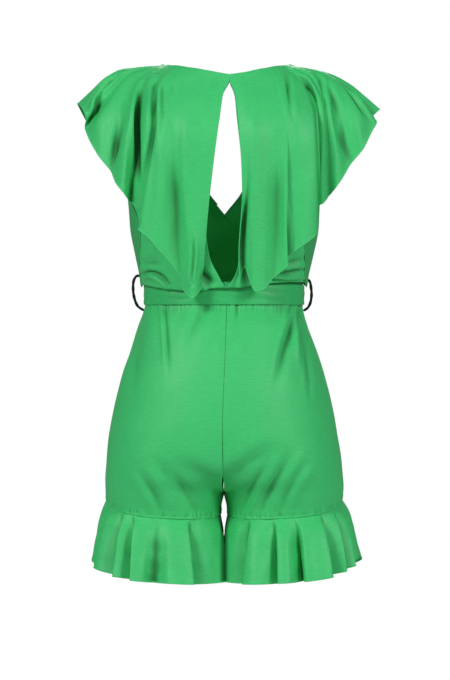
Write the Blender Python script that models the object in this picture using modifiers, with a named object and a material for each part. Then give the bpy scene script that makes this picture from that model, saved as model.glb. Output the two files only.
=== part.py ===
"""A wrap romper with a cape flounce, a tie belt and ruffled shorts, in the hollow form it has when worn.

Metres, +Z up. The origin lies between the shoulders, level with their tops.
The front faces -Y, and the wearer's left is +X.
"""

import math
from collections import namedtuple

import bpy
from mathutils import Vector
from mathutils.bvhtree import BVHTree

# Cloth
WALL = 0.0012  # thickness of the cloth wall
SEAM_GAP = 0.0003  # parting between two pieces at a seam
LAYER = 0.0018  # from the middle of one cloth to the middle of the next one on it
SATIN_GREEN = (0.061, 0.479, 0.159, 1.0)
THREAD_GREEN = (0.010, 0.120, 0.035, 1.0)
LEFT, RIGHT = 1, -1  # the wearer's sides
BACK, FRONT = 1, -1
ROUNDING = 2 / 2.3  # power of the level sections, 1 is an ellipse

# Bodice
BODICE_COLUMNS = {BACK: 13, FRONT: 18}
WRAP_LAYER = 0.0028  # middle to middle, where the fronts wrap over each other
SHOULDER_PARTING = 0.0005  # half the parting at the shoulder seam, whose edges lean together
UNDERARM_Z = -0.205  # the side seams end here and the armholes begin
SHOULDER_TIP = Vector((0.140, 0.0, -0.026))
BODICE_HEART = Vector((0.0, 0.0, -0.22))  # a point inside, that all its cloth faces away from
BESIDE = 0.004  # a point farther than this beside the bodice hangs free of it
NECKLINE_BACK = {  # from the nape out to the neck points, the last row of each
    LEFT: ((-0.0085, 0.076, -0.0185), (0.021, 0.072, -0.0135), (0.059, 0.055, -0.007),
           (0.086, 0.032, -0.004), (0.100, 0.0, -0.003)),
    RIGHT: ((-0.0095, 0.076, -0.0185), (-0.035, 0.0715, -0.0150), (-0.070, 0.054, -0.008),
            (-0.094, 0.031, -0.0045), (-0.108, 0.0, -0.003)),
}
# A row for each level section: its height at the back and at the middle of the front, its half width and
# depths, the edges of the back keyhole and of the wrapped front, and how far out the back and front panels
# reach.
BodiceRow = namedtuple(
    "BodiceRow",
    "name z z_front width back front key_left key_right wrap_left wrap_right reach_back reach_front",
)
BODICE = (
    BodiceRow("waist seam", -0.3813, -0.3813, 0.1285, 0.0880, 0.0960, -0.0045, -0.0049, -0.099,
              0.099, 0.1285, 0.1285),
    BodiceRow("over the belt", -0.3585, -0.3620, 0.1300, 0.0890, 0.0965, -0.0029, -0.0033, -0.083,
              0.083, 0.1300, 0.1300),
    BodiceRow("blouse fold", -0.3675, -0.3570, 0.1355, 0.0985, 0.1055, -0.0029, -0.0033, -0.080,
              0.080, 0.1355, 0.1355),
    BodiceRow("blouse", -0.3460, -0.3460, 0.1385, 0.1040, 0.1100, 0.0105, -0.0190, -0.072, 0.072,
              0.1385, 0.1385),
    BodiceRow("low ribs", -0.3200, -0.3200, 0.1435, 0.1060, 0.1250, 0.0230, -0.0250, -0.055, 0.055,
              0.1435, 0.1435),
    BodiceRow("ribs", -0.2700, -0.2700, 0.1545, 0.1060, 0.1390, 0.0295, -0.0265, -0.020, 0.018,
              0.1545, 0.1545),
    BodiceRow("underarm", UNDERARM_Z, UNDERARM_Z, 0.1600, 0.1070, 0.1450, 0.0235, -0.0300, 0.029,
              -0.033, 0.1600, 0.1600),
    BodiceRow("chest", -0.1500, -0.1500, 0.1580, 0.1060, 0.1250, 0.0165, -0.0275, 0.046, -0.050,
              0.1460, 0.1360),
    BodiceRow("shoulder blades", -0.0900, -0.0900, 0.1560, 0.0970, 0.0960, 0.0070, -0.0210, 0.068,
              -0.072, 0.1370, 0.1290),
    BodiceRow("collar bones", -0.0500, -0.0500, 0.1500, 0.0820, 0.0700, 0.0010, -0.0165, 0.083,
              -0.090, 0.1340, 0.1320),
    BodiceRow("top of the keyhole", -0.0310, -0.0340, 0.1440, 0.0770, 0.0500, -0.0088, -0.0092,
              0.090, -0.097, 0.1330, 0.1330),
)

# Flounces: a row for each ridge, valley or edge of the hanging cloth, from the nape round to the front.
# It starts on the neckline, so far from the nape on the back and from the neck point on the front, and runs
# through the points down to the hem.
FLOUNCE_ROWS = (0.0, 0.04, 0.10, 0.18, 0.30, 0.45, 0.63, 0.81, 1.0)  # shares of the way to the hem
FLOUNCE_LAYERS = (1.2, 1.8, 2.6, 3.2, 3.2, 3.0, 3.0, 3.0, 3.0)  # each row's least height over the bodice
FOLD_STEPS = 2
Fold = namedtuple("Fold", "name along points")
BACK_FOLDS = {
    LEFT: (
        Fold("keyhole edge", 0.000, ((-0.0080, 0.083, -0.0290), (-0.003, 0.088, -0.036),
                                     (0.0085, 0.119, -0.100), (0.024, 0.124, -0.225),
                                     (0.0365, 0.113, -0.370))),
        Fold("cone", 0.022, ((0.036, 0.122, -0.100), (0.040, 0.127, -0.225), (0.052, 0.124, -0.387))),
        Fold("side of the cone", 0.042, ((0.0615, 0.121, -0.100), (0.062, 0.121, -0.225),
                                         (0.066, 0.111, -0.374))),
        Fold("soft valley", 0.055, ((0.080, 0.117, -0.100), (0.079, 0.112, -0.240),
                                    (0.075, 0.107, -0.347))),
        Fold("soft ridge", 0.072, ((0.093, 0.116, -0.100), (0.104, 0.122, -0.210), (0.108, 0.119, -0.307))),
        Fold("before the rim", 0.089, ((0.104, 0.112, -0.090), (0.117, 0.119, -0.190),
                                       (0.1265, 0.115, -0.285))),
        Fold("lobe rim", 0.102, ((0.1085, 0.082, -0.040), (0.112, 0.108, -0.090), (0.125, 0.115, -0.185),
                                 (0.141, 0.107, -0.273))),
        Fold("behind the rim", 0.107, ((0.113, 0.064, -0.040), (0.112, 0.102, -0.085),
                                       (0.121, 0.103, -0.180), (0.130, 0.090, -0.257))),
        Fold("small ridge", 0.111, ((0.120, 0.056, -0.038), (0.1305, 0.098, -0.0885),
                                    (0.137, 0.099, -0.170), (0.144, 0.083, -0.236))),
        Fold("deep valley", 0.115, ((0.130, 0.048, -0.036), (0.1425, 0.078, -0.0885),
                                    (0.146, 0.078, -0.160), (0.154, 0.076, -0.228))),
        Fold("tall ridge", 0.119, ((0.136, 0.038, -0.026), (0.1520, 0.087, -0.0885),
                                   (0.160, 0.097, -0.140), (0.1645, 0.099, -0.214))),
        Fold("slope", 0.1225, ((0.144, 0.034, -0.028), (0.165, 0.074, -0.085), (0.172, 0.083, -0.130),
                               (0.178, 0.090, -0.197))),
        Fold("hem notch", 0.126, ((0.148, 0.030, -0.026), (0.172, 0.064, -0.080),
                                  (0.180, 0.070, -0.125), (0.1865, 0.078, -0.177))),
        Fold("broad ridge", 0.129, ((0.150, 0.025, -0.021), (0.180, 0.056, -0.070),
                                    (0.196, 0.066, -0.105), (0.2045, 0.070, -0.155))),
        Fold("over the arm", 0.132, ((0.153, 0.020, -0.018), (0.186, 0.046, -0.060),
                                     (0.207, 0.054, -0.090), (0.2205, 0.053, -0.128))),
        Fold("into the flap", 0.1333, ((0.154, 0.016, -0.016), (0.187, 0.033, -0.052),
                                       (0.208, 0.038, -0.080), (0.2270, 0.040, -0.113))),
        Fold("under the flap", 0.1345, ((0.155, 0.012, -0.014), (0.187, 0.026, -0.044),
                                        (0.209, 0.030, -0.072), (0.2295, 0.032, -0.105))),
        Fold("flap edge", 0.137, ((0.156, 0.011, -0.010), (0.182, 0.026, -0.026),
                                  (0.206, 0.034, -0.053), (0.2285, 0.040, -0.086))),
        Fold("flap", 0.1395, ((0.154, 0.006, -0.008), (0.182, 0.014, -0.015), (0.209, 0.018, -0.038),
                              (0.237, 0.020, -0.069))),
        Fold("shoulder line", 0.1425, ((0.150, 0.000, -0.0055), (0.1825, -0.002, -0.0125),
                                       (0.2115, 0.000, -0.0375),
                                      (0.242, 0.002, -0.0655))),
    ),
    RIGHT: (
        Fold("keyhole edge", 0.000, ((-0.0100, 0.083, -0.0290), (-0.0165, 0.092, -0.045),
                                     (-0.0236, 0.119, -0.103), (-0.0297, 0.124, -0.207),
                                     (-0.0240, 0.113, -0.369))),
        Fold("arch", 0.013, ((-0.036, 0.121, -0.100), (-0.039, 0.121, -0.210), (-0.0345, 0.101, -0.334))),
        Fold("soft ridge", 0.028, ((-0.052, 0.121, -0.100), (-0.050, 0.126, -0.220),
                                   (-0.050, 0.119, -0.375))),
        Fold("slope", 0.041, ((-0.066, 0.119, -0.100), (-0.068, 0.122, -0.220), (-0.0665, 0.114, -0.371))),
        Fold("valley", 0.054, ((-0.080, 0.116, -0.100), (-0.086, 0.111, -0.240), (-0.081, 0.106, -0.353))),
        Fold("before the step", 0.065, ((-0.092, 0.115, -0.100), (-0.098, 0.119, -0.230),
                                        (-0.0955, 0.112, -0.342))),
        Fold("step edge", 0.075, ((-0.101, 0.113, -0.095), (-0.1035, 0.121, -0.230),
                                  (-0.1055, 0.115, -0.331))),
        Fold("behind the step", 0.080, ((-0.104, 0.1115, -0.090), (-0.106, 0.1125, -0.220),
                                        (-0.1085, 0.104, -0.316))),
        Fold("broad ridge", 0.088, ((-0.120, 0.106, -0.085), (-0.127, 0.113, -0.190),
                                    (-0.131, 0.110, -0.299))),
        Fold("lobe rim", 0.097, ((-0.129, 0.054, -0.035), (-0.149, 0.092, -0.090), (-0.153, 0.102, -0.165),
                                 (-0.1535, 0.097, -0.278))),
        Fold("behind the rim", 0.102, ((-0.132, 0.044, -0.033), (-0.145, 0.068, -0.085),
                                       (-0.146, 0.069, -0.160), (-0.1485, 0.066, -0.236))),
        Fold("second rim", 0.106, ((-0.139, 0.040, -0.024), (-0.156, 0.077, -0.0885),
                                   (-0.158, 0.076, -0.150), (-0.162, 0.071, -0.231))),
        Fold("narrow valley", 0.110, ((-0.144, 0.033, -0.024), (-0.166, 0.067, -0.085),
                                      (-0.170, 0.066, -0.140), (-0.172, 0.062, -0.219))),
        Fold("tall ridge", 0.1135, ((-0.148, 0.029, -0.018), (-0.1765, 0.066, -0.088),
                                    (-0.183, 0.069, -0.130), (-0.185, 0.071, -0.203))),
        Fold("slope", 0.117, ((-0.152, 0.025, -0.019), (-0.1835, 0.058, -0.086),
                              (-0.192, 0.062, -0.130), (-0.196, 0.065, -0.187))),
        Fold("arm valley", 0.1205, ((-0.155, 0.020, -0.018), (-0.1885, 0.045, -0.080),
                                    (-0.198, 0.049, -0.120), (-0.209, 0.054, -0.165))),
        Fold("over the arm", 0.124, ((-0.158, 0.015, -0.015), (-0.197, 0.041, -0.068),
                                     (-0.215, 0.051, -0.095), (-0.229, 0.051, -0.141))),
        Fold("outer slope", 0.127, ((-0.160, 0.010, -0.013), (-0.200, 0.028, -0.050),
                                    (-0.224, 0.036, -0.075), (-0.2435, 0.036, -0.112))),
        Fold("flap edge", 0.129, ((-0.161, 0.005, -0.012), (-0.198, 0.014, -0.036),
                                  (-0.228, 0.019, -0.060), (-0.252, 0.024, -0.096))),
        Fold("under the flap", 0.131, ((-0.162, -0.001, -0.012), (-0.193, 0.002, -0.030),
                                       (-0.220, 0.002, -0.055), (-0.245, 0.004, -0.087))),
        Fold("shoulder line", 0.1333, ((-0.163, -0.006, -0.0115), (-0.185, -0.010, -0.019),
                                       (-0.208, -0.012, -0.032),
                                      (-0.258, -0.012, -0.0735))),
    ),
}
# The front of each flounce, given for the wearer's left, ends where the two fronts cross.
FRONT_FOLDS = (
    Fold("front valley", 0.012, ((0.176, -0.022, -0.024), (0.200, -0.028, -0.056),
                                 (0.226, -0.026, -0.098))),
    Fold("front ridge", 0.030, ((0.168, -0.044, -0.045), (0.193, -0.062, -0.085), (0.214, -0.072, -0.140))),
    Fold("front valley", 0.052, ((0.156, -0.066, -0.060), (0.172, -0.082, -0.105),
                                 (0.188, -0.088, -0.165))),
    Fold("front ridge", 0.077, ((0.142, -0.092, -0.080), (0.156, -0.119, -0.125), (0.167, -0.130, -0.195))),
    Fold("front valley", 0.104, ((0.124, -0.106, -0.105), (0.135, -0.123, -0.155),
                                 (0.141, -0.130, -0.222))),
    Fold("front ridge", 0.133, ((0.106, -0.130, -0.130), (0.114, -0.153, -0.180), (0.117, -0.162, -0.245))),
    Fold("front valley", 0.165, ((0.086, -0.136, -0.150), (0.091, -0.150, -0.195),
                                 (0.093, -0.153, -0.256))),
    Fold("front ridge", 0.197, ((0.068, -0.148, -0.170), (0.071, -0.163, -0.210), (0.071, -0.168, -0.263))),
)
LOW_FRONT_FOLDS = {
    LEFT: (
        Fold("front valley", 0.235, ((0.050, -0.151, -0.190), (0.052, -0.158, -0.222),
                                     (0.051, -0.159, -0.263))),
        Fold("front ridge", 0.265, ((0.034, -0.156, -0.212), (0.036, -0.163, -0.233),
                                    (0.033, -0.165, -0.258))),
        Fold("front end", 0.295, ((0.018, -0.153, -0.236), (0.016, -0.155, -0.243),
                                  (0.014, -0.157, -0.250))),
    ),
    RIGHT: (
        Fold("front valley", 0.241, ((-0.052, -0.151, -0.192), (-0.054, -0.158, -0.225),
                                     (-0.055, -0.161, -0.272))),
        Fold("front ridge", 0.276, ((-0.034, -0.156, -0.217), (-0.036, -0.166, -0.247),
                                    (-0.037, -0.171, -0.289))),
        Fold("front valley", 0.311, ((-0.010, -0.154, -0.257), (-0.012, -0.161, -0.280),
                                     (-0.012, -0.161, -0.310))),
        Fold("front ridge", 0.348, ((0.013, -0.155, -0.285), (0.013, -0.163, -0.307),
                                    (0.014, -0.163, -0.334))),
        Fold("front valley", 0.383, ((0.033, -0.146, -0.310), (0.034, -0.150, -0.327),
                                     (0.035, -0.148, -0.348))),
        Fold("front end", 0.4145, ((0.052, -0.139, -0.331), (0.053, -0.138, -0.340),
                                   (0.054, -0.134, -0.352))),
    ),
}

# Belt
BELT_TOP = -0.3640
BELT_BOTTOM = -0.3965
BELT_COLUMNS = 49
BELT_OPENING = 0.02  # half the angle left open behind the knot
KNOT_SIZE = (0.050, 0.024, 0.040)
KNOT_Z = -0.3810
KNOT_SQUARENESS = 0.8  # power of the knot's shape, 1 is an ellipsoid
BELT_FRONT_LAYERS = 2.3  # the belt passes over both wrapped fronts
TAIL_ROWS = 9
TAIL_COLUMNS = 6
TAIL_START = -0.4014
TailRow = namedtuple("TailRow", "z x y half_width fold")
TAIL = (  # x is out from the middle, and fold is how far the strip bows forward
    TailRow(TAIL_START, 0.0095, -0.1130, 0.0085, 0.005),
    TailRow(-0.440, 0.0200, -0.1170, 0.0125, 0.005),
    TailRow(-0.520, 0.0350, -0.1215, 0.0160, 0.004),
    TailRow(-0.620, 0.0480, -0.1240, 0.0170, 0.002),
)
TAIL_SHORTENING = {LEFT: 1.0, RIGHT: 0.90}
LOOP_RADIUS = 0.0012
LOOP = {  # x out from the middle and z of each thread loop, top to bottom
    LEFT: ((0.1390, -0.3500), (0.1455, -0.3520), (0.1495, -0.3600), (0.1500, -0.3700), (0.1480, -0.3850),
           (0.1420, -0.3990), (0.1345, -0.4045)),
    RIGHT: ((0.1388, -0.3550), (0.1422, -0.3600), (0.1435, -0.3700), (0.1440, -0.3820), (0.1425, -0.3930),
            (0.1385, -0.4010), (0.1345, -0.4045)),
}

# Shorts: a row for each section, top to bottom. It runs from the centre seam, or from the inside leg seam,
# round to the side seam. Fork is how far the leg's own centre has moved out from the middle.
SHORTS_COLUMNS = {BACK: 16, FRONT: 13}
LEG = None
FORK_PARTING = 0.0005  # half the parting at the fork, whose edges lean together
CREASE_FADE = 0.03  # a crease fades out this near a side or inside leg seam
ShortsRow = namedtuple(
    "ShortsRow",
    "name z_inner z_middle z_side fork inner width_left width_right back front",
)
SHORTS = (
    ShortsRow("waist seam", -0.3816, -0.3816, -0.3816, 0.0, -0.0045, 0.1285, 0.1285, 0.088, 0.0965),
    ShortsRow("under the belt", -0.3990, -0.3990, -0.3990, 0.0, -0.0043, 0.1302, 0.1290, 0.0892, 0.0970),
    ShortsRow("top of the hips", -0.4300, -0.4300, -0.4300, 0.0, -0.0035, 0.1410, 0.1370, 0.108, 0.1020),
    ShortsRow("high hips", -0.4700, -0.4700, -0.4700, 0.0, -0.0022, 0.1530, 0.1520, 0.126, 0.1070),
    ShortsRow("hips", -0.5200, -0.5190, -0.5180, 0.0, 0.0000, 0.1690, 0.1670, 0.142, 0.1110),
    ShortsRow("seat", -0.5730, -0.5700, -0.5660, 0.0, 0.0020, 0.1815, 0.1790, 0.150, 0.1130),
    ShortsRow("low seat", -0.6200, -0.6150, -0.6080, 0.020, 0.0025, 0.1890, 0.1860, 0.149, 0.1130),
    ShortsRow("top of the fork", -0.6560, -0.6500, -0.6420, 0.050, 0.0025, 0.1925, 0.1920, 0.142, 0.1120),
    ShortsRow("fork", -0.6830, -0.6760, -0.6680, 0.073, 0.0020, 0.1945, 0.1950, 0.131, 0.1100),
    ShortsRow("under the seat", -0.7010, -0.6960, -0.6860, 0.087, 0.0012, 0.1955, 0.1965, 0.121, 0.1080),
    ShortsRow("crotch", -0.7105, -0.7130, -0.6980, LEG, 0.0004, 0.1950, 0.1975, 0.112, 0.1060),
    ShortsRow("leg", -0.7240, -0.7290, -0.7080, LEG, 0.0040, 0.1945, 0.1965, 0.105, 0.1050),
    ShortsRow("leg hem", -0.7390, -0.7475, -0.7165, LEG, 0.0058, 0.1935, 0.1940, 0.101, 0.1040),
)
# Creases in the shorts: from one end to the other, seen from behind or in front, with how wide and deep.
Crease = namedtuple("Crease", "x_start z_start x_end z_end width depth")
SHORTS_CREASES = {
    BACK: (
        Crease(0.097, -0.400, 0.093, -0.455, 0.006, 0.0030),
        Crease(0.028, -0.400, 0.060, -0.455, 0.007, 0.0025),
        Crease(0.142, -0.445, 0.153, -0.530, 0.008, 0.0030),
        Crease(-0.122, -0.405, -0.086, -0.505, 0.008, 0.0035),
        Crease(-0.128, -0.410, -0.132, -0.490, 0.007, 0.0030),
        Crease(0.084, -0.680, 0.052, -0.733, 0.008, 0.0045),
        Crease(0.064, -0.712, 0.045, -0.740, 0.006, 0.0035),
        Crease(-0.088, -0.680, -0.050, -0.742, 0.008, 0.0045),
        Crease(-0.068, -0.680, -0.018, -0.738, 0.007, 0.0040),
        Crease(-0.116, -0.673, -0.098, -0.712, 0.007, 0.0030),
        Crease(-0.002, -0.668, -0.026, -0.655, 0.007, 0.0040),
    ),
    FRONT: (
        Crease(0.060, -0.400, 0.040, -0.480, 0.008, 0.0035),
        Crease(0.100, -0.400, 0.090, -0.470, 0.007, 0.0030),
        Crease(-0.055, -0.400, -0.040, -0.490, 0.008, 0.0035),
        Crease(-0.098, -0.400, -0.088, -0.465, 0.007, 0.0030),
        Crease(0.012, -0.680, 0.070, -0.640, 0.010, 0.0045),
        Crease(-0.012, -0.680, -0.075, -0.645, 0.010, 0.0045),
        Crease(0.080, -0.690, 0.060, -0.735, 0.008, 0.0035),
        Crease(-0.085, -0.690, -0.060, -0.735, 0.008, 0.0035),
    ),
}

# Ruffles: a row for each ridge or valley, from the inside leg seam (0) round to the side seam (1).
RUFFLE_ROWS = 5
RUFFLE_STEPS = 2
RUFFLE_DROP = 0.1070
RUFFLE_PARTING = 0.0008  # from the hem of the shorts down to the ruffle
RUFFLE_INNER = 0.0016  # how near the middle the low edge comes
RUFFLE_FLARE_SIDE = {LEFT: 0.0190, RIGHT: 0.0265}
RUFFLE_FLARE_DEPTH = 0.0190
RUFFLE_SIDE_LIFT = {LEFT: 0.0170, RIGHT: 0.0280}  # the low edge rises towards the side seam
RUFFLE_SPREAD = 0.55  # power of the flare down the ruffle, 1 is straight
Wave = namedtuple("Wave", "top low out")
WAVES = {
    (LEFT, BACK): (
        Wave(0.00, 0.00, 0.000), Wave(0.06, 0.05, -0.004), Wave(0.13, 0.115, 0.007),
        Wave(0.22, 0.21, 0.003), Wave(0.30, 0.29, -0.002), Wave(0.36, 0.385, -0.008),
        Wave(0.385, 0.355, 0.007), Wave(0.43, 0.41, 0.007), Wave(0.48, 0.47, 0.004),
        Wave(0.52, 0.52, -0.004), Wave(0.57, 0.56, 0.004), Wave(0.64, 0.605, 0.008),
        Wave(0.66, 0.58, -0.006), Wave(0.685, 0.64, -0.002), Wave(0.715, 0.695, 0.007),
        Wave(0.74, 0.67, -0.007), Wave(0.765, 0.74, -0.001), Wave(0.82, 0.80, 0.005),
        Wave(0.86, 0.845, 0.006), Wave(0.88, 0.825, -0.005), Wave(0.93, 0.91, 0.003),
        Wave(1.00, 1.00, 0.000),
    ),
    (RIGHT, BACK): (
        Wave(0.00, 0.00, 0.000), Wave(0.05, 0.04, -0.003), Wave(0.11, 0.09, 0.006),
        Wave(0.22, 0.20, 0.002), Wave(0.30, 0.315, -0.007), Wave(0.325, 0.29, 0.007),
        Wave(0.37, 0.36, 0.008), Wave(0.42, 0.415, 0.001), Wave(0.445, 0.47, -0.007),
        Wave(0.465, 0.452, 0.007), Wave(0.495, 0.49, 0.008), Wave(0.52, 0.52, 0.000),
        Wave(0.54, 0.56, -0.007), Wave(0.56, 0.543, 0.006), Wave(0.61, 0.59, 0.008),
        Wave(0.68, 0.655, 0.009), Wave(0.70, 0.63, -0.007), Wave(0.735, 0.70, -0.003),
        Wave(0.79, 0.755, 0.005), Wave(0.815, 0.735, -0.006), Wave(0.84, 0.785, 0.000),
        Wave(0.88, 0.825, 0.005), Wave(0.90, 0.808, -0.005), Wave(0.94, 0.90, 0.002),
        Wave(1.00, 1.00, 0.000),
    ),
    (LEFT, FRONT): (
        Wave(0.00, 0.00, 0.000), Wave(0.06, 0.05, -0.003), Wave(0.14, 0.13, 0.007),
        Wave(0.24, 0.23, 0.003), Wave(0.30, 0.315, -0.007), Wave(0.325, 0.292, 0.007),
        Wave(0.40, 0.39, 0.007), Wave(0.47, 0.46, -0.003), Wave(0.54, 0.53, 0.006),
        Wave(0.60, 0.575, 0.008), Wave(0.62, 0.55, -0.006), Wave(0.66, 0.62, 0.000),
        Wave(0.73, 0.71, 0.007), Wave(0.755, 0.685, -0.006), Wave(0.80, 0.77, 0.001),
        Wave(0.87, 0.85, 0.006), Wave(0.93, 0.92, -0.002), Wave(1.00, 1.00, 0.000),
    ),
    (RIGHT, FRONT): (
        Wave(0.00, 0.00, 0.000), Wave(0.07, 0.06, -0.003), Wave(0.15, 0.14, 0.007),
        Wave(0.25, 0.24, 0.001), Wave(0.32, 0.31, 0.006), Wave(0.37, 0.355, 0.008),
        Wave(0.395, 0.33, -0.006), Wave(0.43, 0.40, 0.000), Wave(0.50, 0.49, 0.007),
        Wave(0.56, 0.55, -0.003), Wave(0.61, 0.635, -0.007), Wave(0.635, 0.612, 0.006),
        Wave(0.70, 0.69, 0.007), Wave(0.76, 0.74, 0.008), Wave(0.785, 0.715, -0.006),
        Wave(0.82, 0.80, 0.000), Wave(0.89, 0.88, 0.006), Wave(0.95, 0.94, 0.001),
        Wave(1.00, 1.00, 0.000),
    ),
}
SIDE_NAMES = {LEFT: "left", RIGHT: "right"}
FACE_NAMES = {BACK: "back", FRONT: "front"}


# Curves and surfaces


def mix(start, end, share):
    return start + (end - start) * share


def through(points, steps):
    """Points of a smooth curve through the given ones, with so many steps from each to the next."""
    points = [Vector(point) for point in points]
    spans = [math.sqrt(max((b - a).length, 1e-6)) for a, b in zip(points, points[1:])]
    speeds = [(b - a) / span for a, b, span in zip(points, points[1:], spans)]
    slopes = [speeds[0]]
    for before, after, span_before, span_after in zip(speeds, speeds[1:], spans, spans[1:]):
        slopes.append((before * span_after + after * span_before) / (span_before + span_after))
    slopes.append(speeds[-1])
    curve = []
    for start, end, span, leave, arrive in zip(points, points[1:], spans, slopes, slopes[1:]):
        for step in range(steps):
            t = step / steps
            bend = t * t * (3 - 2 * t)
            curve.append(mix(start, end, bend) + (leave * (1 - t) - arrive * t) * (span * t * (1 - t)))
    curve.append(points[-1])
    return curve


def length_of(points):
    return sum((b - a).length for a, b in zip(points, points[1:]))


def walk(points, distance):
    """The point so far along a polyline."""
    for start, end in zip(points, points[1:]):
        length = (end - start).length
        if distance <= length:
            return mix(start, end, distance / length)
        distance -= length
    return points[-1].copy()


def at_shares(points, shares):
    """The points at these shares of a polyline's length."""
    length = length_of(points)
    return [walk(points, length * share) for share in shares]


def even_shares(count):
    return [i / (count - 1) for i in range(count)]


def loft(lines, steps):
    """Lines of a smooth surface through the given ones, which have as many points each."""
    columns = [through(column, steps) for column in zip(*lines)]
    return [list(line) for line in zip(*columns)]


def signed_power(value, power):
    return math.copysign(abs(value) ** power, value)


def section_line(width, depth, inner, outer, z, count):
    """Points round a level section, from one x to another; a negative depth is the front."""
    start = math.asin(signed_power(inner / width, 1 / ROUNDING))
    end = math.asin(signed_power(outer / width, 1 / ROUNDING))
    line = []
    for i in range(count):
        angle = mix(start, end, i / (count - 1))
        x = width * signed_power(math.sin(angle), ROUNDING)
        line.append(Vector((x, depth * abs(math.cos(angle)) ** ROUNDING, z)))
    return line


def move_out(grid, distances):
    """Move each column of a front panel so far along the cloth's own outward direction."""
    moves = []
    for r, row in enumerate(grid):
        below, above = grid[max(r - 1, 0)], grid[min(r + 1, len(grid) - 1)]
        for c, distance in enumerate(distances):
            along = row[min(c + 1, len(row) - 1)] - row[max(c - 1, 0)]
            normal = along.cross(above[c] - below[c]).normalized()
            moves.append(normal * (distance * math.copysign(1.0, -along.x)))
    for point, move in zip([point for row in grid for point in row], moves):
        point -= move


def surface_tree(grid):
    columns = len(grid[0])
    faces = [
        (r * columns + c, r * columns + c + 1, (r + 1) * columns + c + 1, (r + 1) * columns + c)
        for r in range(len(grid) - 1)
        for c in range(columns - 1)
    ]
    return BVHTree.FromPolygons([point for row in grid for point in row], faces)


def lay_over(grid, tree, clearance):
    """Move the points that lie in or under a surface out to a clearance over it."""
    for row in grid:
        for point in row:
            place, normal, _, _ = tree.find_nearest(point)
            if normal.dot(place - BODICE_HEART) < 0:
                normal = -normal
            height = (point - place).dot(normal)
            aside = (point - place - normal * height).length
            if height < clearance and aside < BESIDE:
                point += normal * (clearance - height)


def crease(grid, creases, face):
    """Sink soft troughs into a shorts panel."""
    for row in grid:
        for point in row:
            for fold in creases:
                start = Vector((fold.x_start, fold.z_start))
                run = Vector((fold.x_end, fold.z_end)) - start
                offset = Vector((point.x, point.z)) - start
                share = offset.dot(run) / run.length_squared
                if -0.1 < share < 1.1:
                    aside = (offset - run * share).length / fold.width
                    fade = math.sin(math.pi * (share + 0.1) / 1.2)
                    fade *= min(1.0, abs(point.y) / CREASE_FADE)
                    point.y -= face * fold.depth * fade * math.exp(-aside * aside)


# Objects


def material(name, colour, roughness):
    """A cloth's or thread's plain finish."""
    finish = bpy.data.materials.new(name)
    finish.use_nodes = True
    shader = finish.node_tree.nodes["Principled BSDF"]
    shader.inputs["Base Color"].default_value = colour
    shader.inputs["Roughness"].default_value = roughness
    shader.inputs["Metallic"].default_value = 0.0
    return finish


def cloth(name, grid):
    """A walled sheet from its lines of points, each quad split along its shorter diagonal."""
    columns = len(grid[0])
    points = [point for line in grid for point in line]
    faces = []
    for r in range(len(grid) - 1):
        for first in range(r * columns, (r + 1) * columns - 1):
            a, b, c, d = first, first + 1, first + columns + 1, first + columns
            if (points[c] - points[a]).length < (points[d] - points[b]).length:
                faces += [(a, b, c), (a, c, d)]
            else:
                faces += [(a, b, d), (b, c, d)]
    mesh = bpy.data.meshes.new(name)
    mesh.from_pydata([tuple(point) for point in points], [], faces)
    mesh.shade_smooth()
    mesh.materials.append(material(name, SATIN_GREEN, 0.42))
    sheet = bpy.data.objects.new(name, mesh)
    garment.objects.link(sheet)
    wall = sheet.modifiers.new("wall", "SOLIDIFY")
    wall.thickness = WALL
    wall.offset = 0.0


# Bodice


def bodice_panel(side, face):
    """Lines of a bodice panel from the waist seam up to the shoulder."""
    count = BODICE_COLUMNS[face]
    lines = []
    for row in BODICE:
        if face == BACK:
            depth, reach, z = row.back, row.reach_back, row.z
            inner = row.key_left if side == LEFT else row.key_right
        else:
            depth, reach, z = -row.front, row.reach_front, row.z_front
            inner = row.wrap_left if side == LEFT else row.wrap_right
        line = section_line(row.width, depth, inner, side * reach, z, count)
        for share, point in zip(even_shares(count), line):
            point.z = mix(z, row.z, max(0.0, 4 * share - 3))
        lines.append(line)
    if face == FRONT:
        out = -side * WRAP_LAYER / 2
        shares = [min(1.0, 4 * (1 - share)) for share in even_shares(count)]
        move_out(lines, [out * share for share in shares])
    for line in lines:
        for point in line:
            point.y += face * SEAM_GAP / 2
    tip = Vector((side * SHOULDER_TIP.x, 0.0, SHOULDER_TIP.z))
    neck = through(NECKLINE_BACK[side], 8)
    top = at_shares(neck + [tip] if face == BACK else [neck[-1], tip], even_shares(count))
    for point in top:
        point.y += face * SHOULDER_PARTING
    lines.append(top)
    return lines


def neckline(side, front_panel):
    """The edge that a flounce is sewn to, from the nape over the shoulder and down the front."""
    points = [Vector(point) for point in NECKLINE_BACK[side]]
    points += [line[0] for line in reversed(front_panel[:-1])]
    return [point + Vector((0.0, point.y, 0.05)).normalized() * LAYER for point in points]


def flounce(side, edge, trees):
    """Lines of a flounce, one down each fold and between them."""
    front = [Fold(f.name, f.along, tuple((side * x, y, z) for x, y, z in f.points)) for f in FRONT_FOLDS]
    neck_point = length_of(edge[:len(NECKLINE_BACK[side])])
    starts = [(fold.along, fold) for fold in BACK_FOLDS[side]]
    starts += [(neck_point + fold.along, fold) for fold in front + list(LOW_FRONT_FOLDS[side])]
    runs = [through([walk(edge, along)] + list(fold.points), 8) for along, fold in starts]
    for tree in trees:
        lay_over([run[1:] for run in runs], tree, 2 * LAYER)
    lines = loft([at_shares(run, FLOUNCE_ROWS) for run in runs], FOLD_STEPS)
    for row, layers in enumerate(FLOUNCE_LAYERS):
        for tree in trees:
            lay_over([line[row:row + 1] for line in lines], tree, layers * LAYER)
    return lines


# Shorts and ruffles


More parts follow.
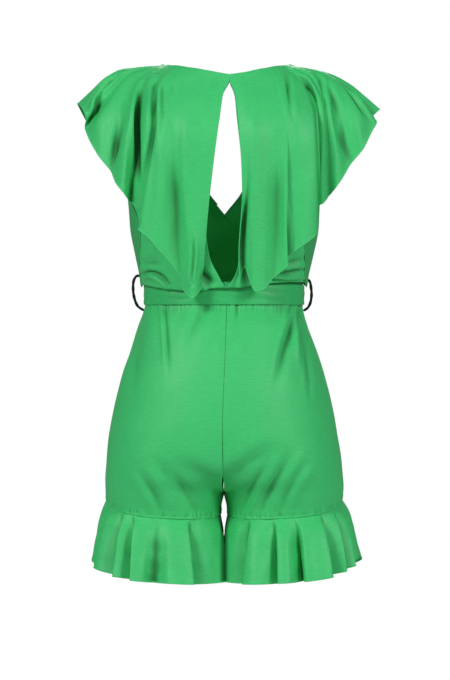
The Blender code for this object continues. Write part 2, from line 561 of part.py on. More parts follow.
def leg_ring(side, face, row, share, flare=0.0):
    """A point on a shorts section, from the inner seam (0) round to the side seam (1)."""
    width = row.width_left if side == LEFT else row.width_right
    width += flare * RUFFLE_FLARE_SIDE[side]
    inner = row.inner
    if row.fork is LEG:
        inner = mix(row.inner, RUFFLE_INNER, flare)
        fork = (width + inner) / 2
    else:
        fork = row.fork
        if face == FRONT:
            inner = 0.0
        inner *= side
    reach = width - fork
    depth = (row.back if face == BACK else row.front) + flare * RUFFLE_FLARE_DEPTH
    start = math.acos(signed_power(max(-1.0, (inner - fork) / reach), 1 / ROUNDING))
    angle = start * (1 - share)
    x = fork + reach * signed_power(math.cos(angle), ROUNDING)
    y = depth * abs(math.sin(angle)) ** ROUNDING
    bow = 4 * share * (1 - share)
    z = mix(row.z_inner, row.z_side, share) + bow * (row.z_middle - (row.z_inner + row.z_side) / 2)
    parting = FORK_PARTING if row.fork is LEG or row.fork > 0 else SEAM_GAP / 2
    return Vector((side * (x + parting), face * (y + SEAM_GAP / 2), z))


def shorts_panel(side, face):
    count = SHORTS_COLUMNS[face]
    grid = [[leg_ring(side, face, row, i / (count - 1)) for i in range(count)] for row in SHORTS]
    crease(grid, SHORTS_CREASES[face], face)
    return grid


def ruffle(side, face):
    """Lines of half a leg ruffle, one down each ridge and valley and between them."""
    hem = SHORTS[-1]
    width = hem.width_left if side == LEFT else hem.width_right
    middle = Vector((side * width / 2, 0.0, 0.0))
    lines = []
    for wave in WAVES[side, face]:
        line = []
        for i in range(RUFFLE_ROWS):
            down = i / (RUFFLE_ROWS - 1)
            point = leg_ring(side, face, hem, mix(wave.top, wave.low, down), down ** RUFFLE_SPREAD)
            away = Vector((point.x - middle.x, point.y, 0.0)).normalized()
            point += away * (wave.out * down)
            lift = RUFFLE_SIDE_LIFT[side] * wave.low ** 4
            point.y += face * SEAM_GAP * mix(0.5, 1.0, down)
            point.z -= RUFFLE_PARTING + down * (RUFFLE_DROP - lift)
            line.append(point)
        lines.append(line)
    return loft(lines, RUFFLE_STEPS)


# Belt


def belt_band():
    """Lines across the band, all round from one side of the knot to the other."""
    under = BODICE[1]
    width = under.width + LAYER
    lines = []
    for i in range(BELT_COLUMNS):
        angle = mix(-math.pi + BELT_OPENING, math.pi - BELT_OPENING, i / (BELT_COLUMNS - 1))
        depth = under.back + LAYER if math.cos(angle) > 0 else under.front + BELT_FRONT_LAYERS * LAYER
        x = width * signed_power(math.sin(angle), ROUNDING)
        y = depth * signed_power(math.cos(angle), ROUNDING)
        lines.append([Vector((x, y, mix(BELT_BOTTOM, BELT_TOP, step / 2))) for step in range(3)])
    return lines


def belt_tail(side):
    """A hanging end of the belt, narrow under the knot and slightly bowed."""
    edges = []
    for row in TAIL:
        z = TAIL_START + (row.z - TAIL_START) * TAIL_SHORTENING[side]
        line = []
        for i in range(TAIL_COLUMNS):
            across = 2 * i / (TAIL_COLUMNS - 1) - 1
            bow = row.fold * (1 - across * across)
            line.append(Vector((side * (row.x + across * row.half_width), row.y - bow, z)))
        edges.append(line)
    columns = [at_shares(through(column, 4), even_shares(TAIL_ROWS)) for column in zip(*edges)]
    return [list(line) for line in zip(*columns)]


def belt_knot():
    """The knot, a squarish lump worked up from a ball."""
    band_front = BODICE[1].front + BELT_FRONT_LAYERS * LAYER + WALL / 2
    place = (0.0, -(band_front + SEAM_GAP + KNOT_SIZE[1] / 2), KNOT_Z)
    bpy.ops.mesh.primitive_uv_sphere_add(segments=20, ring_count=12, radius=1.0, location=place)
    knot = bpy.context.object
    knot.name = "belt_knot"
    knot.data.name = "belt_knot"
    for vertex in knot.data.vertices:
        for axis in range(3):
            vertex.co[axis] = signed_power(vertex.co[axis], KNOT_SQUARENESS) * KNOT_SIZE[axis] / 2
    knot.data.materials.append(material("belt_knot", SATIN_GREEN, 0.42))
    knot.data.shade_smooth()
    for collection in knot.users_collection:
        collection.objects.unlink(knot)
    garment.objects.link(knot)


def belt_loop(side):
    """A thread loop that stands off the side seam and carries the belt."""
    name = "belt_loop_" + SIDE_NAMES[side]
    points = through([(side * x, 0.0, z) for x, z in LOOP[side]], 3)
    curve = bpy.data.curves.new(name, "CURVE")
    curve.dimensions = "3D"
    curve.bevel_depth = LOOP_RADIUS
    curve.bevel_resolution = 2
    curve.use_fill_caps = True
    spline = curve.splines.new("POLY")
    spline.points.add(len(points) - 1)
    for knot, point in zip(spline.points, points):
        knot.co = (*point, 1.0)
    curve.materials.append(material(name, THREAD_GREEN, 0.6))
    garment.objects.link(bpy.data.objects.new(name, curve))


for item in list(bpy.data.objects):
    bpy.data.objects.remove(item, do_unlink=True)
garment = bpy.data.collections.new("romper")
bpy.context.scene.collection.children.link(garment)

panels = {(side, face): bodice_panel(side, face) for side in (LEFT, RIGHT) for face in (BACK, FRONT)}
bodice_trees = [surface_tree(grid) for grid in panels.values()]
for (side, face), grid in panels.items():
    cloth(FACE_NAMES[face] + "_" + SIDE_NAMES[side], grid)
for side in (LEFT, RIGHT):
    sewn_edge = neckline(side, panels[side, FRONT])
    cloth("flounce_" + SIDE_NAMES[side], flounce(side, sewn_edge, bodice_trees))
    for face in (BACK, FRONT):
        cloth("_".join(("shorts", FACE_NAMES[face], SIDE_NAMES[side])), shorts_panel(side, face))
        cloth("_".join(("ruffle", FACE_NAMES[face], SIDE_NAMES[side])), ruffle(side, face))
    cloth("belt_tail_" + SIDE_NAMES[side], belt_tail(side))
    belt_loop(side)
cloth("belt_band", belt_band())
belt_knot()
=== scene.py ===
import math
from collections import namedtuple

import bpy
import numpy as np
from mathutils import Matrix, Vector
from mathutils.bvhtree import BVHTree


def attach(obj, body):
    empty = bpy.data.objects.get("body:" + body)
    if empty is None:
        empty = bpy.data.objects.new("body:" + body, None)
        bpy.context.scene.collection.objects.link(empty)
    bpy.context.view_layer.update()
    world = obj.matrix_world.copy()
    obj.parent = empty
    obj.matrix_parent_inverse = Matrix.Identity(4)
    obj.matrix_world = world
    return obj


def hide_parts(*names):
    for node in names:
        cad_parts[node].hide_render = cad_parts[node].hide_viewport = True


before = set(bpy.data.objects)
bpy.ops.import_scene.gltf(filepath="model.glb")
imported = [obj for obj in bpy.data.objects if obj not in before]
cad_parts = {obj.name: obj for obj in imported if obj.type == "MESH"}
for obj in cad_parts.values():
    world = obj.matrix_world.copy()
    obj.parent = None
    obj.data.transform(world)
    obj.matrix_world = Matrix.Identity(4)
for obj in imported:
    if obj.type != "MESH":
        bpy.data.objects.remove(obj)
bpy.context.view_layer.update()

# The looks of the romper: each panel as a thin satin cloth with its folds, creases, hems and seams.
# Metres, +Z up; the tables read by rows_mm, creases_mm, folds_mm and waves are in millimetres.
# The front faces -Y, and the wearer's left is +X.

LEFT, RIGHT = 1, -1  # the wearer's sides
BACK, FRONT = 1, -1
SIDES, FACES = (LEFT, RIGHT), (BACK, FRONT)
SIDE_NAMES = {LEFT: "left", RIGHT: "right"}
FACE_NAMES = {BACK: "back", FRONT: "front"}

# Cloth
SATIN = 0.0006  # thickness of one layer of the satin
BELT_SATIN = 0.0015  # thickness of the belt, which is double
SEAM_GAP = 0.0001  # between two panels that are sewn together
LAYER = 0.0018  # from one layer of cloth to the next that lies on it
ROUNDING = 2 / 2.3  # power of the level sections, 1 is an ellipse
EdgeRow = namedtuple("EdgeRow", "inside thickness thread")  # how far inside the edge, and under thread or not


def rows_mm(kind, *rows):
    """Rows of a table, with their measures in millimetres; None, True and False stay as they are."""
    return [kind(*(value if value is None or isinstance(value, bool) else value / 1000 for value in row))
            for row in rows]


# A narrow rolled hem, worked over with thread
HEM = rows_mm(
    EdgeRow,
    (2.6, 0.7, False), (2.1, 1.2, True), (1.5, 1.5, True), (0.9, 1.5, True), (0.4, 1.3, True),
    (0, 0.7, True))
# The seam at a leg's hem stands up as a narrow ridge
SEAM_RIDGE = rows_mm(
    EdgeRow,
    (3, 0.7, False), (2.4, 1.2, False), (1.9, 2.1, True), (1.2, 2.5, True), (0.6, 2.1, True),
    (0, 0.9, True))
# The folded edge of a double layer
FOLDED = rows_mm(
    EdgeRow,
    (1.4, 1.5, False), (0.7, 1.4, False), (0.3, 1.1, False), (0, 0.6, False))

EDGE_SHARE, EDGE_ROOM = 0.4, 1.3  # the most of the cloth that an edge takes, and its room in widths of itself

# Seam allowances, turned in
SIDE_SEAM, WAIST_SEAM, SHOULDER_SEAM = 0.0035, 0.0005, 0.0015
TURNING = ((0.0009, 0.0), (0.00032, 0.00006), (0.0003, 0.0007), (0.00032, 0.001))  # inside the edge, under it
RUFFLE_SEAM = 0.0025  # how far the ruffle runs on under the shorts
TUCK_STEP, TUCK_DEPTH = 0.0003, 0.0012
DEEP_SEAM = 0.0020  # an allowance deeper than this gets the darkest painted shade

CREASE_END = 2.4  # a crease fades out over 1 / 2.4 of its length to each end
LIP_PLACE = 1.6  # the lip stands this many widths beside its crease
SIDE_FADE = 0.03  # what belongs to the back or the front fades in over this much depth
FOLD_REACH = 0.008  # half the breadth of the folds that get painted shade
FOLD_SHALLOW, FOLD_DEEP = 0.0002, 0.0030  # painted shade begins where a fold sinks this far, and is darkest this much further down

# Bodice
BODICE_COLUMNS = {BACK: 97, FRONT: 121}
COARSE_COLUMNS = {BACK: 13, FRONT: 18}  # as in the CAD model
BODICE_STEPS = 8
WRAP_LAYER = 0.0028  # between the two fronts where one wraps over the other
SHOULDER_PARTING = 0.0005
SHOULDER_TIP = (0.140, 0.0, -0.026)
NECKLINE_BACK = {
    LEFT: ((-0.0089, 0.076, -0.0185), (0.021, 0.072, -0.0135), (0.059, 0.055, -0.007),
           (0.086, 0.032, -0.004), (0.100, 0.0, -0.003)),
    RIGHT: ((-0.0091, 0.076, -0.0185), (-0.035, 0.0715, -0.0150), (-0.070, 0.054, -0.008),
            (-0.094, 0.031, -0.0045), (-0.108, 0.0, -0.003)),
}
# The side seams are set back: they run down at SEAM_X, and squared_out keeps the back panel broad there.
BodiceRow = namedtuple(
    "BodiceRow",
    "z z_front width back front key_left key_right wrap_left wrap_right reach_back reach_front squared_out",
)
BODICE = rows_mm(
    BodiceRow,
    (-381.3, -381.3, 128.5, 88, 96, -4.5, -4.9, -99, 99, None, None, 0),
    (-358.5, -362, 130, 89, 96.5, -2.9, -3.3, -83, 83, None, None, 0),
    (-367.5, -357, 135.5, 98.5, 105.5, -2.9, -3.3, -80, 80, None, None, 3),
    (-346, -346, 138.5, 104, 110, 10.5, -19, -72, 72, None, None, 8),
    (-320, -320, 143.5, 106, 125, 23, -25, -55, 55, None, None, 14),
    (-270, -270, 154.5, 106, 139, 29.5, -26.5, -20, 18, None, None, 15),
    (-205, -205, 160, 107, 145, 23.5, -30, 29, -33, 160, 160, 0),
    (-150, -150, 158, 106, 125, 16.5, -27.5, 46, -50, 146, 136, 0),
    (-90, -90, 156, 97, 96, 7, -21, 68, -72, 137, 129, 0),
    (-50, -50, 150, 82, 70, 1, -16.5, 83, -90, 134, 132, 0),
    (-31, -34, 144, 77, 50, -8.8, -9.2, 90, -97, 133, 133, 0),
)
SEAM_X = {LEFT: 0.1365, RIGHT: 0.1310}
SEAM_SQUARE = 0.020  # how wide the squared corner is
# How far the cloth that blouses over the belt is raised, across the back.
BLOUSE_X = (-0.140, -0.080, -0.030, 0.000, 0.025, 0.070, 0.110, 0.140)
BLOUSE_RISE = (0.0085, 0.0070, -0.0012, -0.0015, -0.0025, -0.0060, -0.0015, 0.0060)
BLOUSE_LEVEL, BLOUSE_DEPTH = -0.3650, 0.0110
# How far the full cloth stands out at the sides above the belt, and at what level.
LOW_SIDE_BREADTH, LOW_SIDE_LEVEL, LOW_SIDE_DEPTH = 0.0022, -0.3150, 0.045
PANEL_UNEVENNESS = (0.0005, 0.09)  # height and breadth of the bumps
SEAM_INSIDE = 0.985  # the side seam stays within this share of the half width
SQUARE_FADE = 0.04  # the squared corner fades in over this depth
LOW_SIDE_START, LOW_SIDE_FADE = 0.2, 0.12  # how it fades in towards the sides
# The bodice front gets painted shade of the arms in this band of depth and below this level.
ARM_SHADE, ARM_SHADE_FRONT, ARM_SHADE_DEPTH, ARM_SHADE_TOP = 0.50, 0.030, 0.055, -0.19
ARM_SHADE_FADE = 0.05

# A crease has a line of points in x and z, and its lip is the share of its depth that stands up beside it.
Crease = namedtuple("Crease", "line width depth lip")


def creases_mm(*rows):
    """Creases in millimetres; a negative depth is a ridge, and a negative lip is on the other side."""
    return [Crease([(x / 1000, z / 1000) for x, z in line], width / 1000, depth / 1000, lip)
            for width, depth, lip, *line in rows]


BODICE_CREASES = {
    (LEFT, BACK): creases_mm(
        (3.6, 8.5, 0.9, (144, -350), (133, -345), (120.5, -343.6), (107.2, -348), (92.4, -361.5),
         (84, -374)),
        (8, 4, 0.5, (144, -323), (123, -329), (96, -326)),
        (9, 3, 0.4, (135, -320), (124, -290), (120, -254)),
        (7, 8.5, 0.5, (56, -305), (42, -338), (24, -356), (6, -368)),
        (4, 5, 0.5, (50, -340), (33, -360), (18, -374)),
    ),
    (RIGHT, BACK): creases_mm(
        (2.4, 7.5, -0.8, (-64, -352), (-84, -356), (-110, -357.2), (-142, -356)),
        (4, 6, -0.7, (-76, -349), (-100, -344), (-124, -340), (-142, -337)),
        (6, 3.4, -0.5, (-96, -330), (-118, -323), (-144, -315)),
        (8, 2.6, -0.4, (-126, -318), (-122, -290), (-124, -256)),
        (7.5, 10, -0.2, (-30, -315), (-34.5, -340), (-37, -376)),
    ),
    (LEFT, FRONT): creases_mm(
        (5.5, 5.2, 0.6, (140, -344), (120, -342), (98, -346), (76, -360)),
        (8, 2.6, 0.5, (118, -365), (104, -335), (98, -290)),
        (9, 2.6, 0.5, (148, -250), (125, -262), (100, -264)),
    ),
    (RIGHT, FRONT): creases_mm(
        (5.5, 4.6, -0.6, (-140, -344), (-112, -340), (-86, -346), (-60, -362)),
        (9, -3, 0, (-90, -368), (-76, -330), (-60, -285)),
        (8, -2.6, 0, (-50, -368), (-32, -338), (-5, -315)),
        (9, 2.6, -0.5, (-148, -245), (-125, -258), (-100, -260)),
    ),
}
FLOUNCE_CREASES = {
    (LEFT, BACK): creases_mm(
        (10, -4.2, 0, (60, -50), (61.5, -100), (64.4, -185.6), (56, -290), (48, -350)),
        (11, 1.4, 0.8, (88, -110), (82.5, -190), (78.5, -250), (84, -309), (72, -355)),
        (2.4, 4.4, -0.8, (52.8, -268), (49.5, -314.3), (59.4, -385)),
        (3.6, 4, 0.4, (100.7, -20), (100.7, -60), (102, -130)),
        (12, -3.4, 0, (88, -70), (100, -175), (106, -280)),
        (4.2, 6, 0.6, (112, -18), (116, -70), (118, -116.3), (130, -200)),
        (4.4, 10, 0.5, (130, -20), (138.6, -52), (144, -88), (144, -129.5), (141.4, -185.6), (134, -240)),
        (4.2, 6.4, 0.5, (160, -9), (171.6, -12.4), (191.4, -33.8), (204.6, -58.6), (212.9, -83.3),
         (230, -115)),
        (5.6, 6, 0.5, (164, -70), (176, -125), (186, -185)),
        (2.4, 9, 0.6, (178, -15), (186, -25), (199.7, -42.1), (219.5, -85), (229, -106)),
        (2.2, 5.6, 0.5, (186, -18), (196, -30), (209, -47), (233, -80)),
    ),
    (RIGHT, BACK): creases_mm(
        (12, -3.8, 0, (-50, -40), (-52, -100), (-50, -200), (-48, -330)),
        (4.6, 7, -0.6, (-40, -190), (-34, -260), (-31, -320), (-34, -380)),
        (4, 4.6, -0.5, (-103, -5), (-106, -30), (-110, -70), (-120.5, -135)),
        (11, 1.4, -0.8, (-96, -115), (-90, -200), (-84.2, -281.3), (-82.5, -350)),
        (1.8, 4.8, -0.8, (-102.1, -210), (-105, -270), (-106.9, -311), (-106.9, -340)),
        (3.6, 13, -0.2, (-120, -12), (-133.7, -28), (-151.8, -63.5), (-156.4, -103.1), (-157.6, -146),
         (-159, -240)),
        (4.2, 6.6, -0.5, (-150, -12), (-158.4, -26), (-165, -47), (-168.3, -75.1), (-171.6, -170)),
        (6, 5.4, -0.5, (-164, -20), (-175, -45), (-188.1, -103.1), (-196.4, -136.1), (-213, -170)),
        (3, 6.4, -0.5, (-188, -25), (-205, -42), (-230, -78), (-250, -102)),
    ),
    (LEFT, FRONT): creases_mm(
        (7.5, 2.4, 0.6, (140, -50), (156, -90), (170, -135), (180, -180)),
        (7.5, 2.8, 0.6, (108, -90), (118, -135), (126, -185), (129, -230)),
        (7, 2.4, 0.6, (80, -135), (83, -190), (85, -260)),
    ),
    (RIGHT, FRONT): creases_mm(
        (7.5, 2.6, -0.6, (-138, -50), (-154, -90), (-170, -135), (-182, -180)),
        (8, 2.6, -0.6, (-110, -90), (-120, -135), (-126, -185), (-127, -230)),
        (7, 2.6, -0.6, (-78, -135), (-82, -190), (-87, -265)),
    ),
}

# Flounces: a row for each ridge, valley or edge of the hanging cloth, from the nape round to the front.
FLOUNCE_ROWS = (0.0, 0.04, 0.10, 0.18, 0.30, 0.45, 0.63, 0.81, 1.0)
FLOUNCE_LAYERS = (1.2, 1.8, 2.6, 3.2, 3.2, 3.0, 3.0, 3.0, 3.0)
FLOUNCE_LINES = 4  # fine lines for each coarse one
FLOUNCE_STEPS = 9  # fine rows for each coarse one
FLOUNCE_CLEARANCE = 0.0019  # over the finished panels
Fold = namedtuple("Fold", "along points")


def folds_mm(*rows):
    """Lines of folds in millimetres: where each starts along the neckline, and its points down to the hem."""
    return [Fold(along / 1000, [(x / 1000, y / 1000, z / 1000) for x, y, z in points])
            for along, *points in rows]


BACK_FOLDS = {
    LEFT: folds_mm(
        (0, (-8.7, 83, -29), (-3, 88, -36), (8.5, 119, -100), (24, 124, -225), (36.5, 113, -370)),
        (22, (36, 122, -100), (40, 127, -225), (52, 124, -387)),
        (42, (61.5, 121, -100), (62, 121, -225), (66, 111, -374)),
        (55, (80, 117, -100), (79, 112, -240), (75, 107, -347)),
        (72, (93, 116, -100), (104, 122, -210), (108, 119, -307)),
        (89, (104, 112, -90), (117, 119, -190), (126.5, 115, -285)),
        (102, (108.5, 82, -40), (112, 108, -90), (125, 115, -185), (141, 107, -273)),
        (107, (113, 64, -40), (112, 102, -85), (121, 103, -180), (130, 90, -257)),
        (111, (120, 56, -38), (130.5, 98, -88.5), (137, 99, -170), (144, 83, -236)),
        (115, (130, 48, -36), (142.5, 78, -88.5), (146, 78, -160), (154, 76, -228)),
        (119, (136, 38, -26), (152, 87, -88.5), (160, 97, -140), (164.5, 99, -214)),
        (122.5, (144, 34, -28), (165, 74, -85), (172, 83, -130), (178, 90, -197)),
        (126, (148, 30, -26), (172, 64, -80), (180, 70, -125), (186.5, 78, -177)),
        (129, (150, 25, -21), (180, 56, -70), (196, 66, -105), (204.5, 70, -155)),
        (132, (153, 20, -18), (186, 46, -60), (207, 54, -90), (220.5, 53, -128)),
        (133.3, (154, 16, -16), (187, 33, -52), (208, 38, -80), (227, 40, -113)),
        (134.5, (155, 12, -14), (187, 26, -44), (209, 30, -72), (229.5, 32, -105)),
        (137, (156, 11, -10), (182, 26, -26), (206, 34, -53), (228.5, 40, -86)),
        (139.5, (154, 6, -8), (182, 14, -15), (209, 18, -38), (237, 20, -69)),
        (142.5, (150, 0, -5.5), (182.5, -2, -12.5), (211.5, 0, -37.5), (242, 2, -65.5)),
    ),
    RIGHT: folds_mm(
        (0, (-9.3, 83, -29), (-16.5, 92, -45), (-23.6, 119, -103), (-29.7, 124, -207), (-24, 113, -369)),
        (13, (-36, 121, -100), (-39, 121, -210), (-34.5, 101, -334)),
        (28, (-52, 121, -100), (-50, 126, -220), (-50, 119, -375)),
        (41, (-66, 119, -100), (-68, 122, -220), (-66.5, 114, -371)),
        (54, (-80, 116, -100), (-86, 111, -240), (-81, 106, -353)),
        (65, (-92, 115, -100), (-98, 119, -230), (-95.5, 112, -342)),
        (75, (-101, 113, -95), (-103.5, 121, -230), (-105.5, 115, -331)),
        (80, (-104, 111.5, -90), (-106, 112.5, -220), (-108.5, 104, -316)),
        (88, (-120, 106, -85), (-127, 113, -190), (-131, 110, -299)),
        (97, (-129, 54, -35), (-149, 92, -90), (-153, 102, -165), (-153.5, 97, -278)),
        (102, (-132, 44, -33), (-145, 68, -85), (-146, 69, -160), (-148.5, 66, -236)),
        (106, (-139, 40, -24), (-156, 77, -88.5), (-158, 76, -150), (-162, 71, -231)),
        (110, (-144, 33, -24), (-166, 67, -85), (-170, 66, -140), (-172, 62, -219)),
        (113.5, (-148, 29, -18), (-176.5, 66, -88), (-183, 69, -130), (-185, 71, -203)),
        (117, (-152, 25, -19), (-183.5, 58, -86), (-192, 62, -130), (-196, 65, -187)),
        (120.5, (-155, 20, -18), (-188.5, 45, -80), (-198, 49, -120), (-209, 54, -165)),
        (124, (-158, 15, -15), (-197, 41, -68), (-215, 51, -95), (-229, 51, -141)),
        (127, (-160, 10, -13), (-200, 28, -50), (-224, 36, -75), (-243.5, 36, -112)),
        (129, (-161, 5, -12), (-198, 14, -36), (-228, 19, -60), (-252, 24, -96)),
        (131, (-162, -1, -12), (-193, 2, -30), (-220, 2, -55), (-245, 4, -87)),
        (133.3, (-163, -6, -11.5), (-185, -10, -19), (-208, -12, -32), (-258, -12, -73.5)),
    ),
}
# The front of each flounce, given for the wearer's left, ends where the two fronts cross.
FRONT_FOLDS = folds_mm(
    (12, (176, -22, -24), (200, -28, -56), (226, -26, -98)),
    (30, (168, -44, -45), (193, -62, -85), (214, -72, -140)),
    (52, (156, -66, -60), (172, -82, -105), (188, -88, -165)),
    (77, (142, -92, -80), (156, -119, -125), (167, -130, -195)),
    (104, (124, -106, -105), (135, -123, -155), (141, -130, -222)),
    (133, (106, -130, -130), (114, -153, -180), (117, -162, -245)),
    (165, (86, -136, -150), (91, -150, -195), (93, -153, -256)),
    (197, (68, -148, -170), (71, -163, -210), (71, -168, -263)),
)
LOW_FRONT_FOLDS = {
    LEFT: folds_mm(
        (235, (50, -151, -190), (52, -158, -222), (51, -159, -263)),
        (265, (34, -156, -212), (36, -163, -233), (33, -165, -258)),
        (295, (18, -153, -236), (16, -155, -243), (14, -157, -250)),
    ),
    RIGHT: folds_mm(
        (241, (-52, -151, -192), (-54, -158, -225), (-55, -161, -272)),
        (276, (-34, -156, -217), (-36, -166, -247), (-37, -171, -289)),
        (311, (-10, -154, -257), (-12, -161, -280), (-12, -161, -310)),
        (348, (13, -155, -285), (13, -163, -307), (14, -163, -334)),
        (383, (33, -146, -310), (34, -150, -327), (35, -148, -348)),
        (414.5, (52, -139, -331), (53, -138, -340), (54, -134, -352)),
    ),
}

# Belt
BELT_TOP = -0.3640
BELT_BOTTOM = -0.3965
BELT_OPENING = 0.02  # angle of the gap that the knot covers
BELT_FRONT_LAYERS = 2.3
BELT_WIDTH, BELT_BACK, BELT_FRONT = 0.1300, 0.0890, 0.0965
BELT_ROWS, BELT_COLUMNS = 17, 289
BELT_LINES = 0.00035  # how high the lines along the band are
BELT_DENTS = (0.0011, 0.070)
KNOT_ROWS, KNOT_COLUMNS = 59, 96
KNOT_SIZE = (0.050, 0.024, 0.040)
KNOT_Z = -0.3810
KNOT_Y = -0.1122
KNOT_SQUARENESS = 0.8  # power of the knot's shape, 1 is an ellipsoid
# How far its middle turn, the gathers beside that and the pleats on it stand up.
KNOT_WRAP, KNOT_GATHERS, KNOT_PLEATS = 0.0016, 0.0012, 0.0008
TailRow = namedtuple("TailRow", "z x y half_width fold")
TAIL = rows_mm(
    TailRow,
    (-401.4, 9.5, -113, 8.5, 5),
    (-440, 20, -117, 12.5, 5),
    (-520, 35, -121.5, 16, 4),
    (-620, 48, -124, 17, 2),
)
TAIL_SHORTENING = {LEFT: 1.0, RIGHT: 0.90}
TAIL_ROWS, TAIL_COLUMNS = 81, 41
TAIL_PLEATS, TAIL_SWAY, TAIL_FADE = 0.0014, 0.0016, 0.030
LOOP_RADIUS = 0.0023
LOOP_RELIEF, LOOP_TURN, LOOP_TAPER = 0.10, 0.0021, 0.25  # the turns of thread, and how thin the ends get
LOOP_SIDES = 12
LOOP = {
    LEFT: ((0.1372, -0.3490), (0.1440, -0.3490), (0.1487, -0.3560), (0.1500, -0.3700), (0.1480, -0.3850),
           (0.1420, -0.3990), (0.1320, -0.4058)),
    RIGHT: ((0.1366, -0.3540), (0.1414, -0.3580), (0.1437, -0.3690), (0.1444, -0.3810), (0.1425, -0.3930),
            (0.1385, -0.4010), (0.1312, -0.4065)),
}

# Shorts
SHORTS_COLUMNS = {BACK: 121, FRONT: 105}
SHORTS_STEPS = 8
LEG = None  # below the fork each leg has a section of its own
FORK_PARTING = 0.0001
CROTCH_Z, CROTCH_DEPTH = -0.7070, 0.024
CREASE_FADE = 0.015
CROTCH_FADE, CROTCH_REACH = 0.18, 7  # evened out beside the inner seam, over this many rows each way
SHORTS_UNEVENNESS = (0.0008, 0.12)
ShortsRow = namedtuple("ShortsRow", "z_inner z_middle z_side fork inner width_left width_right back front")
SHORTS = rows_mm(
    ShortsRow,
    (-381.6, -381.6, -381.6, 0, -4.5, 128.5, 128.5, 88, 96.5),
    (-399, -399, -399, 0, -4.3, 130.2, 129, 89.2, 97),
    (-430, -430, -430, 0, -3.5, 141, 137, 108, 102),
    (-470, -470, -470, 0, -2.2, 153, 152, 126, 107),
    (-520, -519, -518, 0, 0, 169, 167, 142, 111),
    (-573, -570, -566, 0, 2, 181.5, 179, 150, 113),
    (-620, -615, -608, 20, 2.5, 189, 186, 149, 113),
    (-656, -650, -642, 50, 2.5, 192.5, 192, 142, 112),
    (-683, -676, -668, 73, 2, 194.5, 195, 131, 110),
    (-701, -696, -686, 87, 1.2, 195.5, 196.5, 121, 108),
    (-710.5, -713, -698, LEG, 0.4, 195, 197.5, 112, 106),
    (-724, -729, -708, LEG, 4, 194.5, 196.5, 105, 105),
    (-739, -747.5, -716.5, LEG, 5.8, 193.5, 194, 101, 104),
)
SHORTS_CREASES = {
    BACK: creases_mm(
        (3.4, 3.6, 0.6, (97.7, -385), (97, -410.7), (93.2, -470), (90, -520)),
        (9, 3.4, 0.4, (22, -385), (40, -415), (51.2, -440), (60, -490)),
        (3, 2.4, 0.4, (-19.8, -385), (-21, -400), (-20, -435)),
        (8.5, 4.4, 0.4, (132, -395), (144.2, -470), (156, -570)),
        (8.5, 6, 0.6, (-129, -385), (-118, -420), (-101, -470), (-80, -560)),
        (5, 6.6, 0.6, (-126, -385), (-127, -430), (-132, -520)),
        (5, 5.4, 0.5, (-128, -385), (-135, -450), (-143, -570)),
        (4, 2.8, 0.4, (-113, -385), (-108, -405), (-100, -425)),
        (12, 5.2, 0.5, (124, -640), (86, -690), (51.2, -756)),
        (9, 4.6, 0.5, (90, -660), (56, -715), (28, -760)),
        (9, 3.4, 0.5, (150, -660), (118, -700), (94, -750)),
        (11.5, 5.8, -0.6, (-125, -620), (-84, -685), (-44, -764)),
        (9, 5.2, -0.6, (-90, -630), (-48, -695), (-13, -760)),
        (9, 4.2, -0.6, (-145, -640), (-110, -690), (-84, -750)),
        (15, 5.6, -0.4, (20, -715), (-18, -678), (-60, -646), (-110, -625)),
        (15, 4.6, 0.4, (-16, -720), (20, -690), (52, -669), (100, -650)),
    ),
    FRONT: creases_mm(
        (8, 3.5, 0.3, (60, -397), (40, -480)),
        (6, 3, 0.4, (100, -397), (90, -470)),
        (8, 3.5, -0.3, (-55, -397), (-40, -490)),
        (6, 3, -0.4, (-98, -397), (-88, -465)),
        (13, 4.2, 0.5, (-10, -710), (30, -672), (70, -646), (115, -630)),
        (13, 4.2, -0.5, (10, -710), (-32, -676), (-76, -652), (-120, -640)),
        (10, 4, 0.5, (96, -655), (74, -705), (50, -760)),
        (10, 4, -0.5, (-104, -650), (-78, -705), (-50, -760)),
        (10, 3, 0.5, (150, -640), (130, -700), (118, -755)),
    ),
}
GATHER_LENGTH, GATHER_HEIGHT, GATHER_DROP = 0.009, 0.0007, 0.014  # small gathers under the belt

# Ruffles
RUFFLE_ROWS = 5
RUFFLE_LINES = 12
RUFFLE_STEPS = 9
RUFFLE_DROP = 0.1070
RUFFLE_INNER = 0.0003  # where the flared hem meets the middle
RUFFLE_FLARE_SIDE = {LEFT: 0.0190, RIGHT: 0.0265}
RUFFLE_FLARE_DEPTH = 0.0190
RUFFLE_SIDE_LIFT = {LEFT: 0.0170, RIGHT: 0.0280}
RUFFLE_SPREAD = 0.55  # power of the flare down the ruffle, 1 is straight
RUFFLE_DEEPENING = 2.5  # how much deeper the folds are than in the plain solids
PUCKER_LENGTH, PUCKER_HEIGHT = 0.0085, 0.0019  # small puckers above the leg seam
PUCKER_PLACE, PUCKER_SPREAD = 0.0055, 0.0050
RUFFLE_UNEVENNESS = (0.0010, 0.05)
RUFFLE_CALM = 0.02  # even at the seam, uneven from this far down
# Painted shade darkens the ruffles where the legs meet, and more in their folds: from this far out, over this
# breadth.
INNER_LEG_SHADE, INNER_LEG_FOLD_SHADE, INNER_LEG_START, INNER_LEG_BREADTH = 0.95, 2.2, 0.003, 0.006
Wave = namedtuple("Wave", "top low out")


def waves(*rows):
    """A ruffle's folds: their place on the seam and on the hem in per cent, how far out in millimetres."""
    return [Wave(top / 100, low / 100, out / 1000) for top, low, out in rows]


